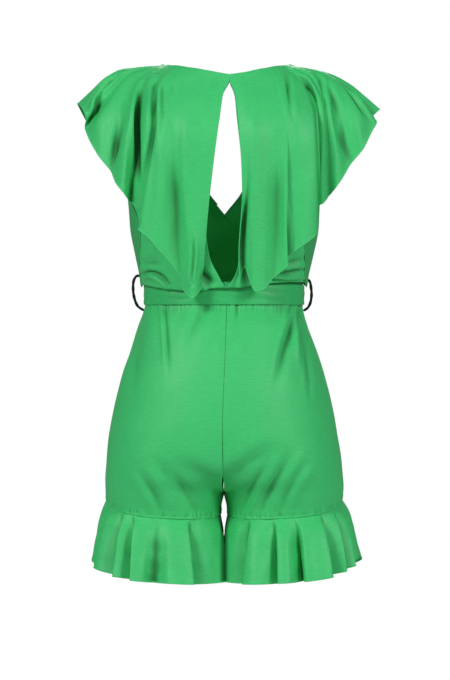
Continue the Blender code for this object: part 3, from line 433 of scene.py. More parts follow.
WAVES = {
    (LEFT, BACK): waves(
        (0, 0, 0), (6, 5, -4), (13, 11.5, 7), (22, 21, 3), (30, 29, -2), (36, 38.5, -8), (38.5, 35.5, 7),
        (43, 41, 7), (48, 47, 4), (52, 52, -4), (57, 56, 4), (64, 60.5, 8), (66, 58, -6), (68.5, 64, -2),
        (71.5, 69.5, 7), (74, 67, -7), (76.5, 74, -1), (82, 80, 5), (86, 84.5, 6), (88, 82.5, -5),
        (93, 91, 3), (100, 100, 0),
    ),
    (RIGHT, BACK): waves(
        (0, 0, 0), (5, 4, -3), (11, 9, 6), (22, 20, 2), (30, 31.5, -7), (32.5, 29, 7), (37, 36, 8),
        (42, 41.5, 1), (44.5, 47, -7), (46.5, 45.2, 7), (49.5, 49, 8), (52, 52, 0), (54, 56, -7),
        (56, 54.3, 6), (61, 59, 8), (68, 65.5, 9), (70, 63, -7), (73.5, 70, -3), (79, 75.5, 5),
        (81.5, 73.5, -6), (84, 78.5, 0), (88, 82.5, 5), (90, 80.8, -5), (94, 90, 2), (100, 100, 0),
    ),
    (LEFT, FRONT): waves(
        (0, 0, 0), (6, 5, -3), (14, 13, 7), (24, 23, 3), (30, 31.5, -7), (32.5, 29.2, 7), (40, 39, 7),
        (47, 46, -3), (54, 53, 6), (60, 57.5, 8), (62, 55, -6), (66, 62, 0), (73, 71, 7), (75.5, 68.5, -6),
        (80, 77, 1), (87, 85, 6), (93, 92, -2), (100, 100, 0),
    ),
    (RIGHT, FRONT): waves(
        (0, 0, 0), (7, 6, -3), (15, 14, 7), (25, 24, 1), (32, 31, 6), (37, 35.5, 8), (39.5, 33, -6),
        (43, 40, 0), (50, 49, 7), (56, 55, -3), (61, 63.5, -7), (63.5, 61.2, 6), (70, 69, 7), (76, 74, 8),
        (78.5, 71.5, -6), (82, 80, 0), (89, 88, 6), (95, 94, 1), (100, 100, 0),
    ),
}

# The fields of a cut: width and length without seam and hem allowances, area, and what it hangs from or lies
# on; no piece is given one.
Cut = namedtuple("Cut", "width length area held")


# Curves and grids of points


def mix(start, end, share):
    return start + (end - start) * share


def unit(vectors):
    return vectors / np.maximum(np.linalg.norm(vectors, axis=-1, keepdims=True), 1e-12)


def smooth_step(share):
    share = np.clip(share, 0.0, 1.0)
    return share * share * (3 - 2 * share)


def hump(value, middle, reach):
    """1 at the middle, falling off softly to both sides."""
    return np.exp(-((value - middle) / reach) ** 2)


def signed_power(value, power):
    return np.copysign(np.abs(value) ** power, value)


def curve_at(points, places):
    """Points of a smooth curve through the given ones; place 2.5 is midway from the third to the fourth."""
    points = np.asarray(points, float)
    places = np.asarray(places, float)
    steps = np.diff(points, axis=0)
    spans = np.sqrt(np.maximum(np.linalg.norm(steps, axis=-1, keepdims=True), 1e-6))
    speeds = steps / spans
    middle = (speeds[:-1] * spans[1:] + speeds[1:] * spans[:-1]) / (spans[:-1] + spans[1:])
    slopes = np.concatenate([speeds[:1], middle, speeds[-1:]])
    index = np.minimum(places.astype(int), len(points) - 2)
    t = (places - index).reshape((-1,) + (1,) * (points.ndim - 1))
    sway = (slopes[index] * (1 - t) - slopes[index + 1] * t) * (spans[index] * t * (1 - t))
    return mix(points[index], points[index + 1], t * t * (3 - 2 * t)) + sway


def through(points, steps):
    return curve_at(points, np.arange((len(points) - 1) * steps + 1) / steps)


def swap(grid):
    return np.swapaxes(grid, 0, 1)


def run_of(points):
    """Distances from the first point of each line, along the first axis."""
    steps = np.linalg.norm(np.diff(points, axis=0), axis=-1)
    return np.concatenate([np.zeros_like(steps[:1]), np.cumsum(steps, axis=0)])


def at_distances(points, distances):
    run = run_of(points)
    return np.stack([np.interp(distances, run, points[:, axis]) for axis in range(points.shape[1])], axis=-1)


def at_shares(points, shares):
    return at_distances(points, np.asarray(shares) * run_of(points)[-1])


def normals_of(grid, outward):
    """Unit normals of a grid of points, on the side where outward says."""
    down = np.gradient(grid, axis=0)
    across = np.gradient(grid, axis=1)
    normals = unit(np.cross(down, across))
    return normals if np.sum(normals * outward) > 0 else -normals


def from_axis(grid):
    """Directions level and away from the garment's upright middle."""
    away = grid.copy()
    away[..., 2] = 0.0
    return unit(away)


def ripple(distance, length, seed):
    """An uneven wave along a seam: slower waves sway it and change its height."""
    turn = 2 * np.pi * distance / length
    sway = 1.6 * np.sin(turn / 3.1 + seed) + 1.1 * np.sin(turn / 5.3 + 2.3 * seed)
    return np.sin(turn + sway) * (0.7 + 0.3 * np.sin(turn / 2.3 + 1.7 * seed))


def unevenness(grid, height, size, seed):
    """A smooth uneven field over a surface: about how high its bumps are, and how broad."""
    field = 0.0
    for k in range(5):
        angle = seed + 2.4 * k
        lean = np.array([math.cos(angle), math.sin(1.7 * angle), math.sin(angle)])
        field = field + np.sin(grid @ lean * (2 * np.pi / size) * (0.7 + 0.25 * k) + 3.1 * angle)
    return height * field / 5


def press(grid, normals, creases):
    """Sink soft creases into a grid, each with a lip on one side."""
    flat = grid[..., (0, 2)]
    for crease in creases:
        line = through(crease.line, 6)
        nearest = np.full(flat.shape[:2], np.inf)
        aside = np.zeros_like(nearest)
        along = np.zeros_like(nearest)
        for k, (start, end) in enumerate(zip(line, line[1:])):
            run = end - start
            share = np.clip((flat - start) @ run / (run @ run), 0.0, 1.0)
            offset = flat - start - share[..., None] * run
            distance = np.linalg.norm(offset, axis=-1)
            closer = distance < nearest
            nearest = np.where(closer, distance, nearest)
            turn = run[0] * offset[..., 1] - run[1] * offset[..., 0]
            aside = np.where(closer, np.copysign(distance, turn), aside)
            along = np.where(closer, (k + share) / (len(line) - 1), along)
        fade = smooth_step(CREASE_END * along) * smooth_step(CREASE_END * (1 - along))
        across = aside / crease.width
        beside = across - math.copysign(LIP_PLACE, crease.lip)
        shape = abs(crease.lip) * hump(beside, 0, 1) - hump(across, 0, 1)
        grid = grid + normals * (crease.depth * shape * fade)[..., None]
    return grid


def tree_of(grid):
    """A grid's surface, for finding the nearest place on it."""
    columns = grid.shape[1]
    corner = (np.arange(grid.shape[0] - 1)[:, None] * columns + np.arange(columns - 1)).ravel()
    faces = np.stack([corner, corner + 1, corner + columns + 1, corner + columns], axis=1)
    return BVHTree.FromPolygons(grid.reshape(-1, 3).tolist(), faces.tolist())


HEART = Vector((0.0, 0.0, -0.22))  # the middle of the bodice
OFF_EDGE = 0.004  # a point further aside than this from its nearest place lies past the edge


def lay_over(grid, tree, clearance):
    """Move the points that lie in or under a surface out to a clearance over it."""
    flat = grid.reshape(-1, 3)
    heights = np.broadcast_to(clearance, grid.shape[:-1]).ravel()
    for i, (point, wanted) in enumerate(zip(flat, heights)):
        point = Vector(point)
        place, normal, _, _ = tree.find_nearest(point)
        if normal.dot(place - HEART) < 0:
            normal = -normal
        height = (point - place).dot(normal)
        aside = (point - place - normal * height).length
        if height < wanted and aside < OFF_EDGE:
            flat[i] += np.array(normal) * (wanted - height)
    return flat.reshape(grid.shape)


def running_mean(grid, reach):
    """Means along the first axis; the grid runs on straight past its ends."""
    reach = max(1, min(reach, len(grid) - 1))
    before = 2 * grid[:1] - grid[reach:0:-1]
    after = 2 * grid[-1:] - grid[-2:-2 - reach:-1]
    sums = np.cumsum(np.concatenate([np.zeros_like(grid[:1]), before, grid, after]), axis=0)
    return (sums[2 * reach + 1:] - sums[:-2 * reach - 1]) / (2 * reach + 1)


def painted_fold_lightness(grid, normals):
    """Painted lightness from the folds: 1 on ridges and flat parts, down to 0, the darkest painted shade, in
    the valleys that sink furthest.
    """
    smooth = grid
    for _ in range(2):
        for turn in (swap, np.asarray):
            smooth = turn(smooth)
            step = float(np.median(np.linalg.norm(np.diff(turn(grid), axis=0), axis=-1)))
            smooth = turn(running_mean(smooth, round(FOLD_REACH / max(step, 1e-5))))
    rise = np.sum((grid - smooth) * normals, axis=-1)
    return np.clip(1 + (rise + FOLD_SHALLOW) / FOLD_DEEP, 0.0, 1.0)


# Cloth: middle points, normals, thickness, thread cover and painted lightness for painted fold shade, row by
# row


Cloth = namedtuple("Cloth", "points normals thickness thread open")


def cloth_of(grid, outward, thickness=SATIN, sheltered=0.0, depth=1.0):
    """A cloth over a grid, with a share of painted shade put on it, and a depth that deepens the painted
    shade in its folds.
    """
    shape = grid.shape[:2]
    normals = normals_of(grid, outward)
    painted_lightness_share = painted_fold_lightness(grid, normals) ** depth * (1 - sheltered)
    return Cloth(grid, normals, np.full(shape, thickness), np.zeros(shape, bool), painted_lightness_share)


def on_side(cloth, side, finish, *settings):
    """Finish one side of a cloth: the first or last row or column."""
    turned = [swap(part) for part in cloth] if side.endswith("column") else list(cloth)
    if side.startswith("first"):
        turned = [part[::-1] for part in turned]
    turned = list(finish(Cloth(*turned), *settings))
    if side.startswith("first"):
        turned = [part[::-1] for part in turned]
    return Cloth(*([swap(part) for part in turned] if side.endswith("column") else turned))


def edged(cloth, rows):
    """Crowd the last rows towards the edge, with a thickness for each."""
    points, normals, thickness, thread, painted_lightness_share = cloth
    count = len(points)
    room = rows[0].inside
    run = run_of(points)
    new_points, new_normals, new_thickness, new_thread, new_painted_lightness = [], [], [], [], []
    for c in range(points.shape[1]):
        length = run[-1, c]
        squeeze = min(1.0, EDGE_SHARE * length / room)
        main = run[:-1, c] / run[-2, c] * (length - room * squeeze * EDGE_ROOM)
        ends = np.array([length - row.inside * squeeze for row in rows])
        places = np.concatenate([main, ends])
        parts = [points[:, c], normals[:, c], thickness[:, c, None], painted_lightness_share[:, c, None]]
        both = np.concatenate(parts, axis=1)
        line = np.stack([np.interp(places, run[:, c], part) for part in both.T], axis=1)
        new_points.append(line[:, :3])
        new_normals.append(unit(line[:, 3:6]))
        scale = line[count - 1:, 6] / line[count - 2, 6]
        new_thickness.append(np.concatenate([line[:count - 1, 6], [row.thickness for row in rows] * scale]))
        new_thread.append(np.concatenate([thread[:-1, c], [row.thread or thread[-1, c] for row in rows]]))
        new_painted_lightness.append(line[:, 7])
    columns = new_points, new_normals, new_thickness, new_thread, new_painted_lightness
    return Cloth(*(swap(np.array(part)) for part in columns))


def ended(cloth, rows, leans, thinning, painted_lightness_shares):
    """Put some rows in place of a cloth's last one."""
    count = len(rows)
    added = (rows, leans, np.repeat(cloth.thickness[-1:], count, axis=0) * thinning,
             np.repeat(cloth.thread[-1:], count, axis=0), [cloth.open[-1] * share for share in painted_lightness_shares])
    return Cloth(*(np.concatenate([part[:-1], new]) for part, new in zip(cloth, added)))


def turned_in(cloth, depth):
    """Turn the last row inwards as a seam allowance of this depth."""
    edge, normal = cloth.points[-1], cloth.normals[-1]
    away = edge - cloth.points[-2]
    away = unit(away - normal * np.sum(away * normal, axis=-1, keepdims=True))
    # painted shade on the turned-in rows: a little on the second, and on the last two, darkest for an
    # allowance deeper than DEEP_SEAM
    shade = 0.0 if depth > DEEP_SEAM else 0.6
    rows = [edge - away * inside - normal * under for inside, under in TURNING]
    rows[-1] = rows[-1] - normal * depth
    return ended(cloth, rows, [normal, unit(normal + 0.8 * away), away, away], 0.9, (1.0, 0.7, shade, shade))


def tucked_under(cloth, depth):
    """Carry the last row on under the edge of the cloth that it is sewn to."""
    edge, normal = cloth.points[-1], cloth.normals[-1]
    away = unit(edge - cloth.points[-2])
    under = [edge + (away * depth - normal * TUCK_DEPTH) * share for share in (0.4, 1.0)]
    return ended(cloth, [edge - normal * TUCK_STEP] + under, [normal] * 3, 1.0, (1.0, 1.0, 1.0))


def link(name, vertices, faces, materials, coordinates, slots=None, painted_lightness_share=None):
    """A smooth mesh object that rides with the garment."""
    mesh = bpy.data.meshes.new(name)
    mesh.from_pydata(vertices.tolist(), [], faces)
    for finish in materials:
        mesh.materials.append(finish)
    if slots is not None:
        mesh.polygons.foreach_set("material_index", slots)
    corners = np.empty(len(mesh.loops), np.int32)
    mesh.loops.foreach_get("vertex_index", corners)
    mesh.uv_layers.new(name="cloth").data.foreach_set("uv", coordinates[corners].ravel())
    if painted_lightness_share is not None:
        # each point's painted lightness, which sets the painted shade in the satin's colour
        mesh.attributes.new("open", "FLOAT", "POINT").data.foreach_set("value", painted_lightness_share)
    mesh.shade_smooth()
    piece = bpy.data.objects.new(name, mesh)
    bpy.context.scene.collection.objects.link(piece)
    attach(piece, "root")
    return piece


def sew(node, cloth, materials):
    """Make a closed, two-sided mesh of a cloth; it stands for its CAD node."""
    points, normals, thickness, thread, painted_lightness_share = cloth
    rows, columns = thickness.shape
    half = (thickness / 2)[..., None]
    vertices = np.concatenate([(points + normals * way * half).reshape(-1, 3) for way in (1, -1)])
    corner = (np.arange(rows - 1)[:, None] * columns + np.arange(columns - 1)).ravel()
    quads = np.stack([corner, corner + 1, corner + columns + 1, corner + columns], axis=1)
    count = rows * columns
    index = np.arange(count).reshape(rows, columns)
    border = np.concatenate([index[0, :-1], index[:-1, -1], index[-1, :0:-1], index[:0:-1, 0]])
    ahead = np.roll(border, -1)
    rim = np.stack([border, border + count, ahead + count, ahead], axis=1)
    first = vertices[quads[:200]]
    turn = np.cross(first[:, 1] - first[:, 0], first[:, 2] - first[:, 1])
    if np.sum(turn * normals.reshape(-1, 3)[quads[:200, 0]]) < 0:  # the quads face inwards
        quads, rim = quads[:, ::-1], rim[:, ::-1]
    faces = np.concatenate([quads, quads[:, ::-1] + count, rim])
    covered = thread.ravel()
    hem = covered[quads].all(axis=1)
    slots = np.concatenate([np.where(hem, 2, 0), np.where(hem, 2, 1), np.where(covered[border], 2, 0)])
    coordinates = np.stack([swap(run_of(swap(points))).ravel(), run_of(points).ravel()], axis=1)
    coordinates = np.concatenate([coordinates, coordinates])
    painted_lightness_share = np.concatenate([painted_lightness_share.ravel(), 2 - np.maximum(painted_lightness_share.ravel(), 1)])
    piece = link(node + "_satin", vertices, faces.tolist(), materials, coordinates, slots, painted_lightness_share)
    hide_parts(node)


def dress(node, grid, outward, finishes, materials, slot="satin", **settings):
    """Make a piece of cloth over a grid, with a finish for each of its sides."""
    cloth = cloth_of(grid, outward, **settings)
    for side, finish, size in finishes:
        cloth = on_side(cloth, side, finish, size)
    sew(node, cloth, materials)


def round_faces(rings, sides):
    """Faces round a closed form: rings of points from one end to the other, and then a tip for each end."""
    count = rings * sides
    faces = []
    for j in range(sides):
        ahead = (j + 1) % sides
        for k in range(0, count - sides, sides):
            faces.append((k + j, k + sides + j, k + sides + ahead, k + ahead))
        faces += [(count, j, ahead), (count + 1, count - sides + ahead, count - sides + j)]
    return faces


# Materials


class Nodes:
    """Adds and joins shader nodes."""

    def __init__(self, name):
        self.material = bpy.data.materials.new(name)
        self.material.use_nodes = True
        self.tree = self.material.node_tree
        self.shader = self.tree.nodes["Principled BSDF"]

    def add(self, kind, inputs=(), **settings):
        node = self.tree.nodes.new(kind)
        for key, value in settings.items():
            setattr(node, key, value)
        self.fill(node, inputs)
        return node

    def fill(self, node, inputs):
        """Set inputs of a node to values, or join them to other nodes' outputs."""
        for key, value in dict(inputs).items():
            if isinstance(value, bpy.types.NodeSocket):
                self.tree.links.new(value, node.inputs[key])
            else:
                node.inputs[key].default_value = value

    def noise(self, place, scale, detail):
        """Noise stretched along the cloth: scale is how many spots to a metre each way."""
        stretched = self.add("ShaderNodeVectorMath", {0: place, 1: scale}, operation="MULTIPLY")
        inputs = {"Vector": stretched.outputs[0], "Scale": 1.0, "Detail": detail}
        return self.add("ShaderNodeTexNoise", inputs).outputs[0]

    def math(self, operation, first, second):
        return self.add("ShaderNodeMath", {0: first, 1: second}, operation=operation).outputs[0]

    def total(self, *parts):
        """The sum of some values, each with its share."""
        shares = [self.math("MULTIPLY", value, share) for value, share in parts]
        while len(shares) > 1:
            shares[:2] = [self.math("ADD", *shares[:2])]
        return shares[0]

    def shade(self, factor, low, high):
        """A colour between two, by a factor."""
        low, high = (part if isinstance(part, bpy.types.NodeSocket) else (*part, 1.0) for part in (low, high))
        return self.add("ShaderNodeMix", {0: factor, 6: low, 7: high}, data_type="RGBA").outputs[2]


# Grain of the satin: spots to a metre along and across the cloth, and detail.
SLUBS = (70.0, 640.0, 1.0), 2.0
WEAVE = (900.0, 1500.0, 1.0), 1.0
BROAD_SPOTS = (9.0, 14.0, 1.0), 2.0


def satin(name, colour, painted_shade_colour, roughness, sheen):
    """Satin with a fine weave and faint slubs that run across the cloth; its colour darkens to a painted
    shade in the folds.
    """
    nodes = Nodes(name)
    place = nodes.add("ShaderNodeUVMap", uv_map="cloth").outputs[0]
    slubs, weave, broad = (nodes.noise(place, *grain) for grain in (SLUBS, WEAVE, BROAD_SPOTS))
    spread = nodes.total((slubs, 0.55), (weave, 0.25), (broad, 0.20))
    tint = nodes.shade(spread, [0.66 * part for part in colour], [1.34 * part for part in colour])
    # painted shade: the colour darkens to the shade colour where the painted lightness falls
    fold = nodes.add("ShaderNodeAttribute", attribute_name="open").outputs["Fac"]
    tint = nodes.shade(nodes.math("POWER", fold, 0.8), painted_shade_colour, tint)
    gloss = nodes.math("ADD", nodes.math("MULTIPLY", slubs, 0.16), roughness - 0.08)
    height = nodes.total((slubs, 0.7), (weave, 0.3))
    bump = nodes.add("ShaderNodeBump", {"Height": height, "Strength": 0.30, "Distance": 0.0002})
    nodes.fill(nodes.shader, {
        "Base Color": tint, "Roughness": gloss, "Normal": bump.outputs[0], "Specular IOR Level": 0.42,
        "Sheen Weight": sheen, "Sheen Roughness": 0.4, "Sheen Tint": (0.35, 1.0, 0.50, 1.0)})
    return nodes.material


def thread(name, colour, pitch):
    """Thread worked closely over an edge, its turns lying slantwise."""
    nodes = Nodes(name)
    place = nodes.add("ShaderNodeUVMap", uv_map="cloth").outputs[0]
    inputs = {"Vector": place, "Scale": 0.314 / pitch, "Distortion": 1.2, "Detail": 1.0}
    turns = nodes.add("ShaderNodeTexWave", inputs, bands_direction="DIAGONAL")
    tint = nodes.shade(turns.outputs[1], [0.80 * part for part in colour], [1.15 * part for part in colour])
    bump = nodes.add("ShaderNodeBump", {"Height": turns.outputs[1], "Strength": 0.5, "Distance": 0.0002})
    nodes.fill(nodes.shader, {
        "Base Color": tint, "Normal": bump.outputs[0], "Roughness": 0.7, "Specular IOR Level": 0.2})
    return nodes.material


# The second colour of each satin is the painted shade in its folds.
right_side = satin("satin_right_side", (0.042, 0.560, 0.158), (0.0, 0.150, 0.022), 0.54, 0.11)
# The wrong side is a little lighter than the right side, painted light for the shaded inside; it is rougher
# and duller as the reverse of satin.
wrong_side = satin("satin_wrong_side", (0.046, 0.580, 0.165), (0.004, 0.200, 0.040), 0.62, 0.04)
belt_satin = satin("belt_satin", (0.030, 0.480, 0.130), (0.0, 0.120, 0.022), 0.46, 0.14)
hem_thread = thread("hem_thread", (0.062, 0.600, 0.195), 0.0009)
loop_thread = thread("loop_thread", (0.002, 0.020, 0.007), 0.0013)
SATINS = (right_side, wrong_side, hem_thread)
BELT_SATINS = (belt_satin, belt_satin)


# Bodice


def angle_at(x, width):
    return math.asin(float(signed_power(np.array(x / width), 1 / ROUNDING)))


def inner_edge(row, side, face):
    """Where a section's inner edge lies: on the keyhole, or on the wrapped edge in front."""
    if face == BACK:
        return row.key_left if side == LEFT else row.key_right
    return row.wrap_left if side == LEFT else row.wrap_right


def section_level(row, face, share):
    """A front section comes level with the back one in its last quarter."""
    return mix(row.z if face == BACK else row.z_front, row.z, np.maximum(0.0, 4 * share - 3))


def up_to_shoulder(side, face, sections, shares, wrapped):
    """Sections with the panel's top added; wrapped says how far a front stands off the other front."""
    grid = np.array(sections)
    if face == FRONT:
        out = wrapped * (-side * WRAP_LAYER / 2)
        grid = grid + normals_of(grid, from_axis(grid)) * out[:, None]
    grid[..., 1] += face * SEAM_GAP / 2
    tip = [side * SHOULDER_TIP[0], SHOULDER_TIP[1], SHOULDER_TIP[2]]
    neck = through(NECKLINE_BACK[side], 8)
    top = at_shares(np.concatenate([neck, [tip]]) if face == BACK else np.array([neck[-1], tip]), shares)
    top[:, 1] += face * SHOULDER_PARTING
    return np.concatenate([grid, top[None]])


def coarse_panel(side, face):
    """The panel as the CAD model has it, which the flounces are draped over."""
    shares = np.linspace(0.0, 1.0, COARSE_COLUMNS[face])
    sections = []
    for row in BODICE:
        reach = (row.reach_back if face == BACK else row.reach_front) or row.width
        start = angle_at(inner_edge(row, side, face), row.width)
        angles = mix(start, side * angle_at(reach, row.width), shares)
        x = row.width * signed_power(np.sin(angles), ROUNDING)
        y = (row.back if face == BACK else -row.front) * np.abs(np.cos(angles)) ** ROUNDING
        sections.append(np.stack([x, y, section_level(row, face, shares)], axis=-1))
    return up_to_shoulder(side, face, sections, shares, np.minimum(1.0, 4 * (1 - shares)))


def bodice_panel(side, face):
    """Rows of a bodice panel from the waist seam up to the shoulder, out to the set-back side seam."""
    shares = np.linspace(0.0, 1.0, BODICE_COLUMNS[face])
    sections = []
    for row in BODICE:
        start = angle_at(inner_edge(row, side, face), row.width)
        seam_x = min(SEAM_X[side], SEAM_INSIDE * row.width)
        if row.reach_back is None:
            end = angle_at(seam_x, row.width)
            end = side * (end if face == BACK else math.pi - end)
        else:
            end = side * angle_at(row.reach_back if face == BACK else row.reach_front, row.width)
        angles = mix(start, end, shares)
        x = row.width * signed_power(np.sin(angles), ROUNDING)
        in_back = (np.abs(angles) > math.pi / 2) ^ (face == BACK)
        y = np.where(in_back, row.back, -row.front) * np.abs(np.cos(angles)) ** ROUNDING
        corner = hump(np.abs(x), seam_x, SEAM_SQUARE) * smooth_step(y / SQUARE_FADE)
        progress = np.clip((angles - start) / (side * math.pi / 2 - start), 0.0, 1.0)
        y = y + row.squared_out * corner
        sections.append(np.stack([x, y, section_level(row, face, progress)], axis=-1))
    grid = up_to_shoulder(side, face, sections, shares, smooth_step(2 * (1 - shares)))
    grid = through(grid, BODICE_STEPS)
    near_belt = hump(grid[..., 2], BLOUSE_LEVEL, BLOUSE_DEPTH) * smooth_step(grid[..., 1] / SIDE_FADE)
    grid[..., 2] += near_belt * np.interp(grid[..., 0], BLOUSE_X, BLOUSE_RISE)
    low_side = hump(grid[..., 2], LOW_SIDE_LEVEL, LOW_SIDE_DEPTH)
    low_side = low_side * smooth_step(np.abs(grid[..., 0]) / LOW_SIDE_FADE - LOW_SIDE_START)
    grid[..., 0] += side * LOW_SIDE_BREADTH * low_side
    normals = normals_of(grid, from_axis(grid))
    grid = press(grid, normals, BODICE_CREASES[side, face])
    return grid + normals * unevenness(grid, *PANEL_UNEVENNESS, side + 2 * face)[..., None]


def neckline(side, front_panel):
    """The edge that a flounce is sewn to, from the nape over the shoulder and down the front."""
    edge = np.concatenate([NECKLINE_BACK[side], front_panel[-2::-1, 0]])
    lift = edge * (0.0, 1.0, 0.0) + (0.0, 0.0, 0.05)
    return edge + unit(lift) * LAYER


def flounce(side, edge, coarse_trees, fine_trees):
    """Rows of a flounce, from the neckline down to the hem."""
    front = [Fold(f.along, tuple((side * x, y, z) for x, y, z in f.points)) for f in FRONT_FOLDS]
    neck_point = run_of(edge[:len(NECKLINE_BACK[side])])[-1]
    starts = [(fold.along, fold) for fold in BACK_FOLDS[side]]
    starts += [(neck_point + fold.along, fold) for fold in front + list(LOW_FRONT_FOLDS[side])]
    lines = []
    for along, fold in starts:
        run = through(np.concatenate([at_distances(edge, [along]), fold.points]), 8)
        for tree in coarse_trees:
            run[1:] = lay_over(run[1:], tree, 2 * LAYER)
        lines.append(at_shares(run, FLOUNCE_ROWS))
    lines = through(lines, 2)
    for tree in coarse_trees:
        lines = lay_over(lines, tree, np.array(FLOUNCE_LAYERS) * LAYER)
    rows = through(swap(through(lines, FLOUNCE_LINES)), FLOUNCE_STEPS)
    normals = normals_of(rows, from_axis(rows))
    for face in FACES:
        creased = press(rows, normals, FLOUNCE_CREASES[side, face]) - rows
        rows = rows + creased * smooth_step(face * rows[..., 1] / SIDE_FADE)[..., None]
    for tree in fine_trees:
        rows = lay_over(rows, tree, FLOUNCE_CLEARANCE)
    return rows


# Shorts and ruffles


def leg_ring(side, face, row, shares, flare=0.0):
    """Points on a shorts section, from the inner seam (0) round to the side seam (1)."""
    width = row.width_left if side == LEFT else row.width_right
    width = width + flare * RUFFLE_FLARE_SIDE[side]
    inner = row.inner
    if row.fork is LEG:
        inner = mix(row.inner, RUFFLE_INNER, min(1.0, 1.8 * flare))
        fork = (width + inner) / 2
    else:
        fork = row.fork
        inner = 0.0 if face == FRONT else inner * side
    reach = width - fork
    depth = (row.back if face == BACK else row.front) + flare * RUFFLE_FLARE_DEPTH
    start = np.arccos(signed_power(np.maximum(-1.0, (inner - fork) / reach), 1 / ROUNDING))
    angles = start * (1 - shares)
    x = fork + reach * signed_power(np.cos(angles), ROUNDING)
    y = depth * np.abs(np.sin(angles)) ** ROUNDING
    bow = 4 * shares * (1 - shares)
    z = mix(row.z_inner, row.z_side, shares) + bow * (row.z_middle - (row.z_inner + row.z_side) / 2)
    parting = FORK_PARTING if row.fork is LEG or row.fork > 0 else SEAM_GAP / 2
    return np.stack([side * (x + parting), face * (y + SEAM_GAP / 2), z + 0 * x], axis=-1)


def shorts_panel(side, face):
    shares = np.linspace(0.0, 1.0, SHORTS_COLUMNS[face])
    grid = through([leg_ring(side, face, row, shares) for row in SHORTS], SHORTS_STEPS)
    near_crotch = hump(grid[..., 2], CROTCH_Z, CROTCH_DEPTH) * smooth_step(shares / CROTCH_FADE)
    even = running_mean(running_mean(grid, CROTCH_REACH), CROTCH_REACH)
    grid = mix(grid, even, near_crotch[..., None])
    normals = normals_of(grid, (0.0, face, 0.0))
    creased = press(grid, normals, SHORTS_CREASES[face]) - grid
    grid = grid + creased * np.minimum(1.0, np.abs(grid[..., 1]) / CREASE_FADE)[..., None]
    around = swap(run_of(swap(grid)))
    under_belt = hump(grid[..., 2], BELT_BOTTOM, GATHER_DROP) * (grid[..., 2] < BELT_TOP)
    gathers = GATHER_HEIGHT * under_belt * ripple(around, GATHER_LENGTH, side + face)
    hem = run_of(grid)[-1] - run_of(grid)
    near_hem = PUCKER_HEIGHT * hump(hem, PUCKER_PLACE, PUCKER_SPREAD)
    puckers = near_hem * ripple(around, PUCKER_LENGTH, side - face)
    move = gathers + puckers + unevenness(grid, *SHORTS_UNEVENNESS, side + 3 * face)
    return grid + normals * move[..., None]


def ruffle(side, face):
    """Rows of half a leg ruffle, from its gathered seam down to the hem."""
    hem = SHORTS[-1]
    width = hem.width_left if side == LEFT else hem.width_right
    middle = np.array([side * width / 2, 0.0, 0.0])
    down = np.linspace(0.0, 1.0, RUFFLE_ROWS)
    lines = []
    for wave in WAVES[side, face]:
        shares = mix(wave.top, wave.low, down)
        line = np.array([leg_ring(side, face, hem, *row) for row in zip(shares, down ** RUFFLE_SPREAD)])
        away = (line - middle) * (1.0, 1.0, 0.0)
        line += unit(away) * (RUFFLE_DEEPENING * wave.out * down ** 0.8)[:, None]
        lift = RUFFLE_SIDE_LIFT[side] * wave.low ** 4
        line[:, 2] -= 2 * SEAM_GAP + down * (RUFFLE_DROP - lift)
        lines.append(line)
    lines = through(lines, 2)
    rows = through(swap(through(lines, RUFFLE_LINES // 2)), RUFFLE_STEPS)
    normals = normals_of(rows, rows - middle)
    fade = 1 - np.exp(-run_of(rows) / RUFFLE_CALM)
    move = fade * unevenness(rows, *RUFFLE_UNEVENNESS, side + 4 * face)
    return rows + normals * move[..., None]


# Belt


def belt_band():
    """Rows of the band from its lower to its upper edge, all round from one side of the knot to the other."""
    angles = np.linspace(-math.pi + BELT_OPENING, math.pi - BELT_OPENING, BELT_COLUMNS)
    depth = np.where(np.cos(angles) > 0, BELT_BACK + LAYER, BELT_FRONT + BELT_FRONT_LAYERS * LAYER)
    x = (BELT_WIDTH + LAYER) * signed_power(np.sin(angles), ROUNDING)
    y = depth * signed_power(np.cos(angles), ROUNDING)
    levels = np.linspace(BELT_BOTTOM, BELT_TOP, BELT_ROWS)
    rows = np.array([np.stack([x, y, np.full_like(x, z)], axis=-1) for z in levels])
    normals = normals_of(rows, from_axis(rows))
    around = swap(run_of(swap(rows)))
    up = (rows[..., 2] - BELT_BOTTOM) / (BELT_TOP - BELT_BOTTOM)
    lines = BELT_LINES * np.sin(up * 15.0 + 1.5 * np.sin(around / 0.035) + 0.8 * np.sin(around / 0.013))
    dents = unevenness(rows, *BELT_DENTS, 3.0)
    return rows + normals * ((lines + dents) * np.sin(np.pi * up))[..., None]


def belt_tail(side):
    """Rows of a hanging end of the belt, narrow and pleated under the knot."""
    across = np.linspace(-1.0, 1.0, TAIL_COLUMNS)
    edges = []
    for row in TAIL:
        z = mix(TAIL[0].z, row.z, TAIL_SHORTENING[side])
        bow = row.fold * (1 - across * across)
        x = side * (row.x + across * row.half_width)
        edges.append(np.stack([x, row.y - bow, np.full_like(x, z)], axis=-1))
    columns = through(edges, 20)
    shares = np.linspace(0.0, 1.0, TAIL_ROWS)
    rows = np.stack([at_shares(column, shares) for column in swap(columns)], axis=1)
    down = run_of(rows)
    pleats = TAIL_PLEATS * np.exp(-down / TAIL_FADE) * np.sin(across * 7.5 + side)
    sway = TAIL_SWAY * np.sin(down / TAIL_FADE + side) * np.sin(np.pi * np.minimum(down / 0.2, 1.0))
    rows[..., 1] += pleats + sway
    return rows


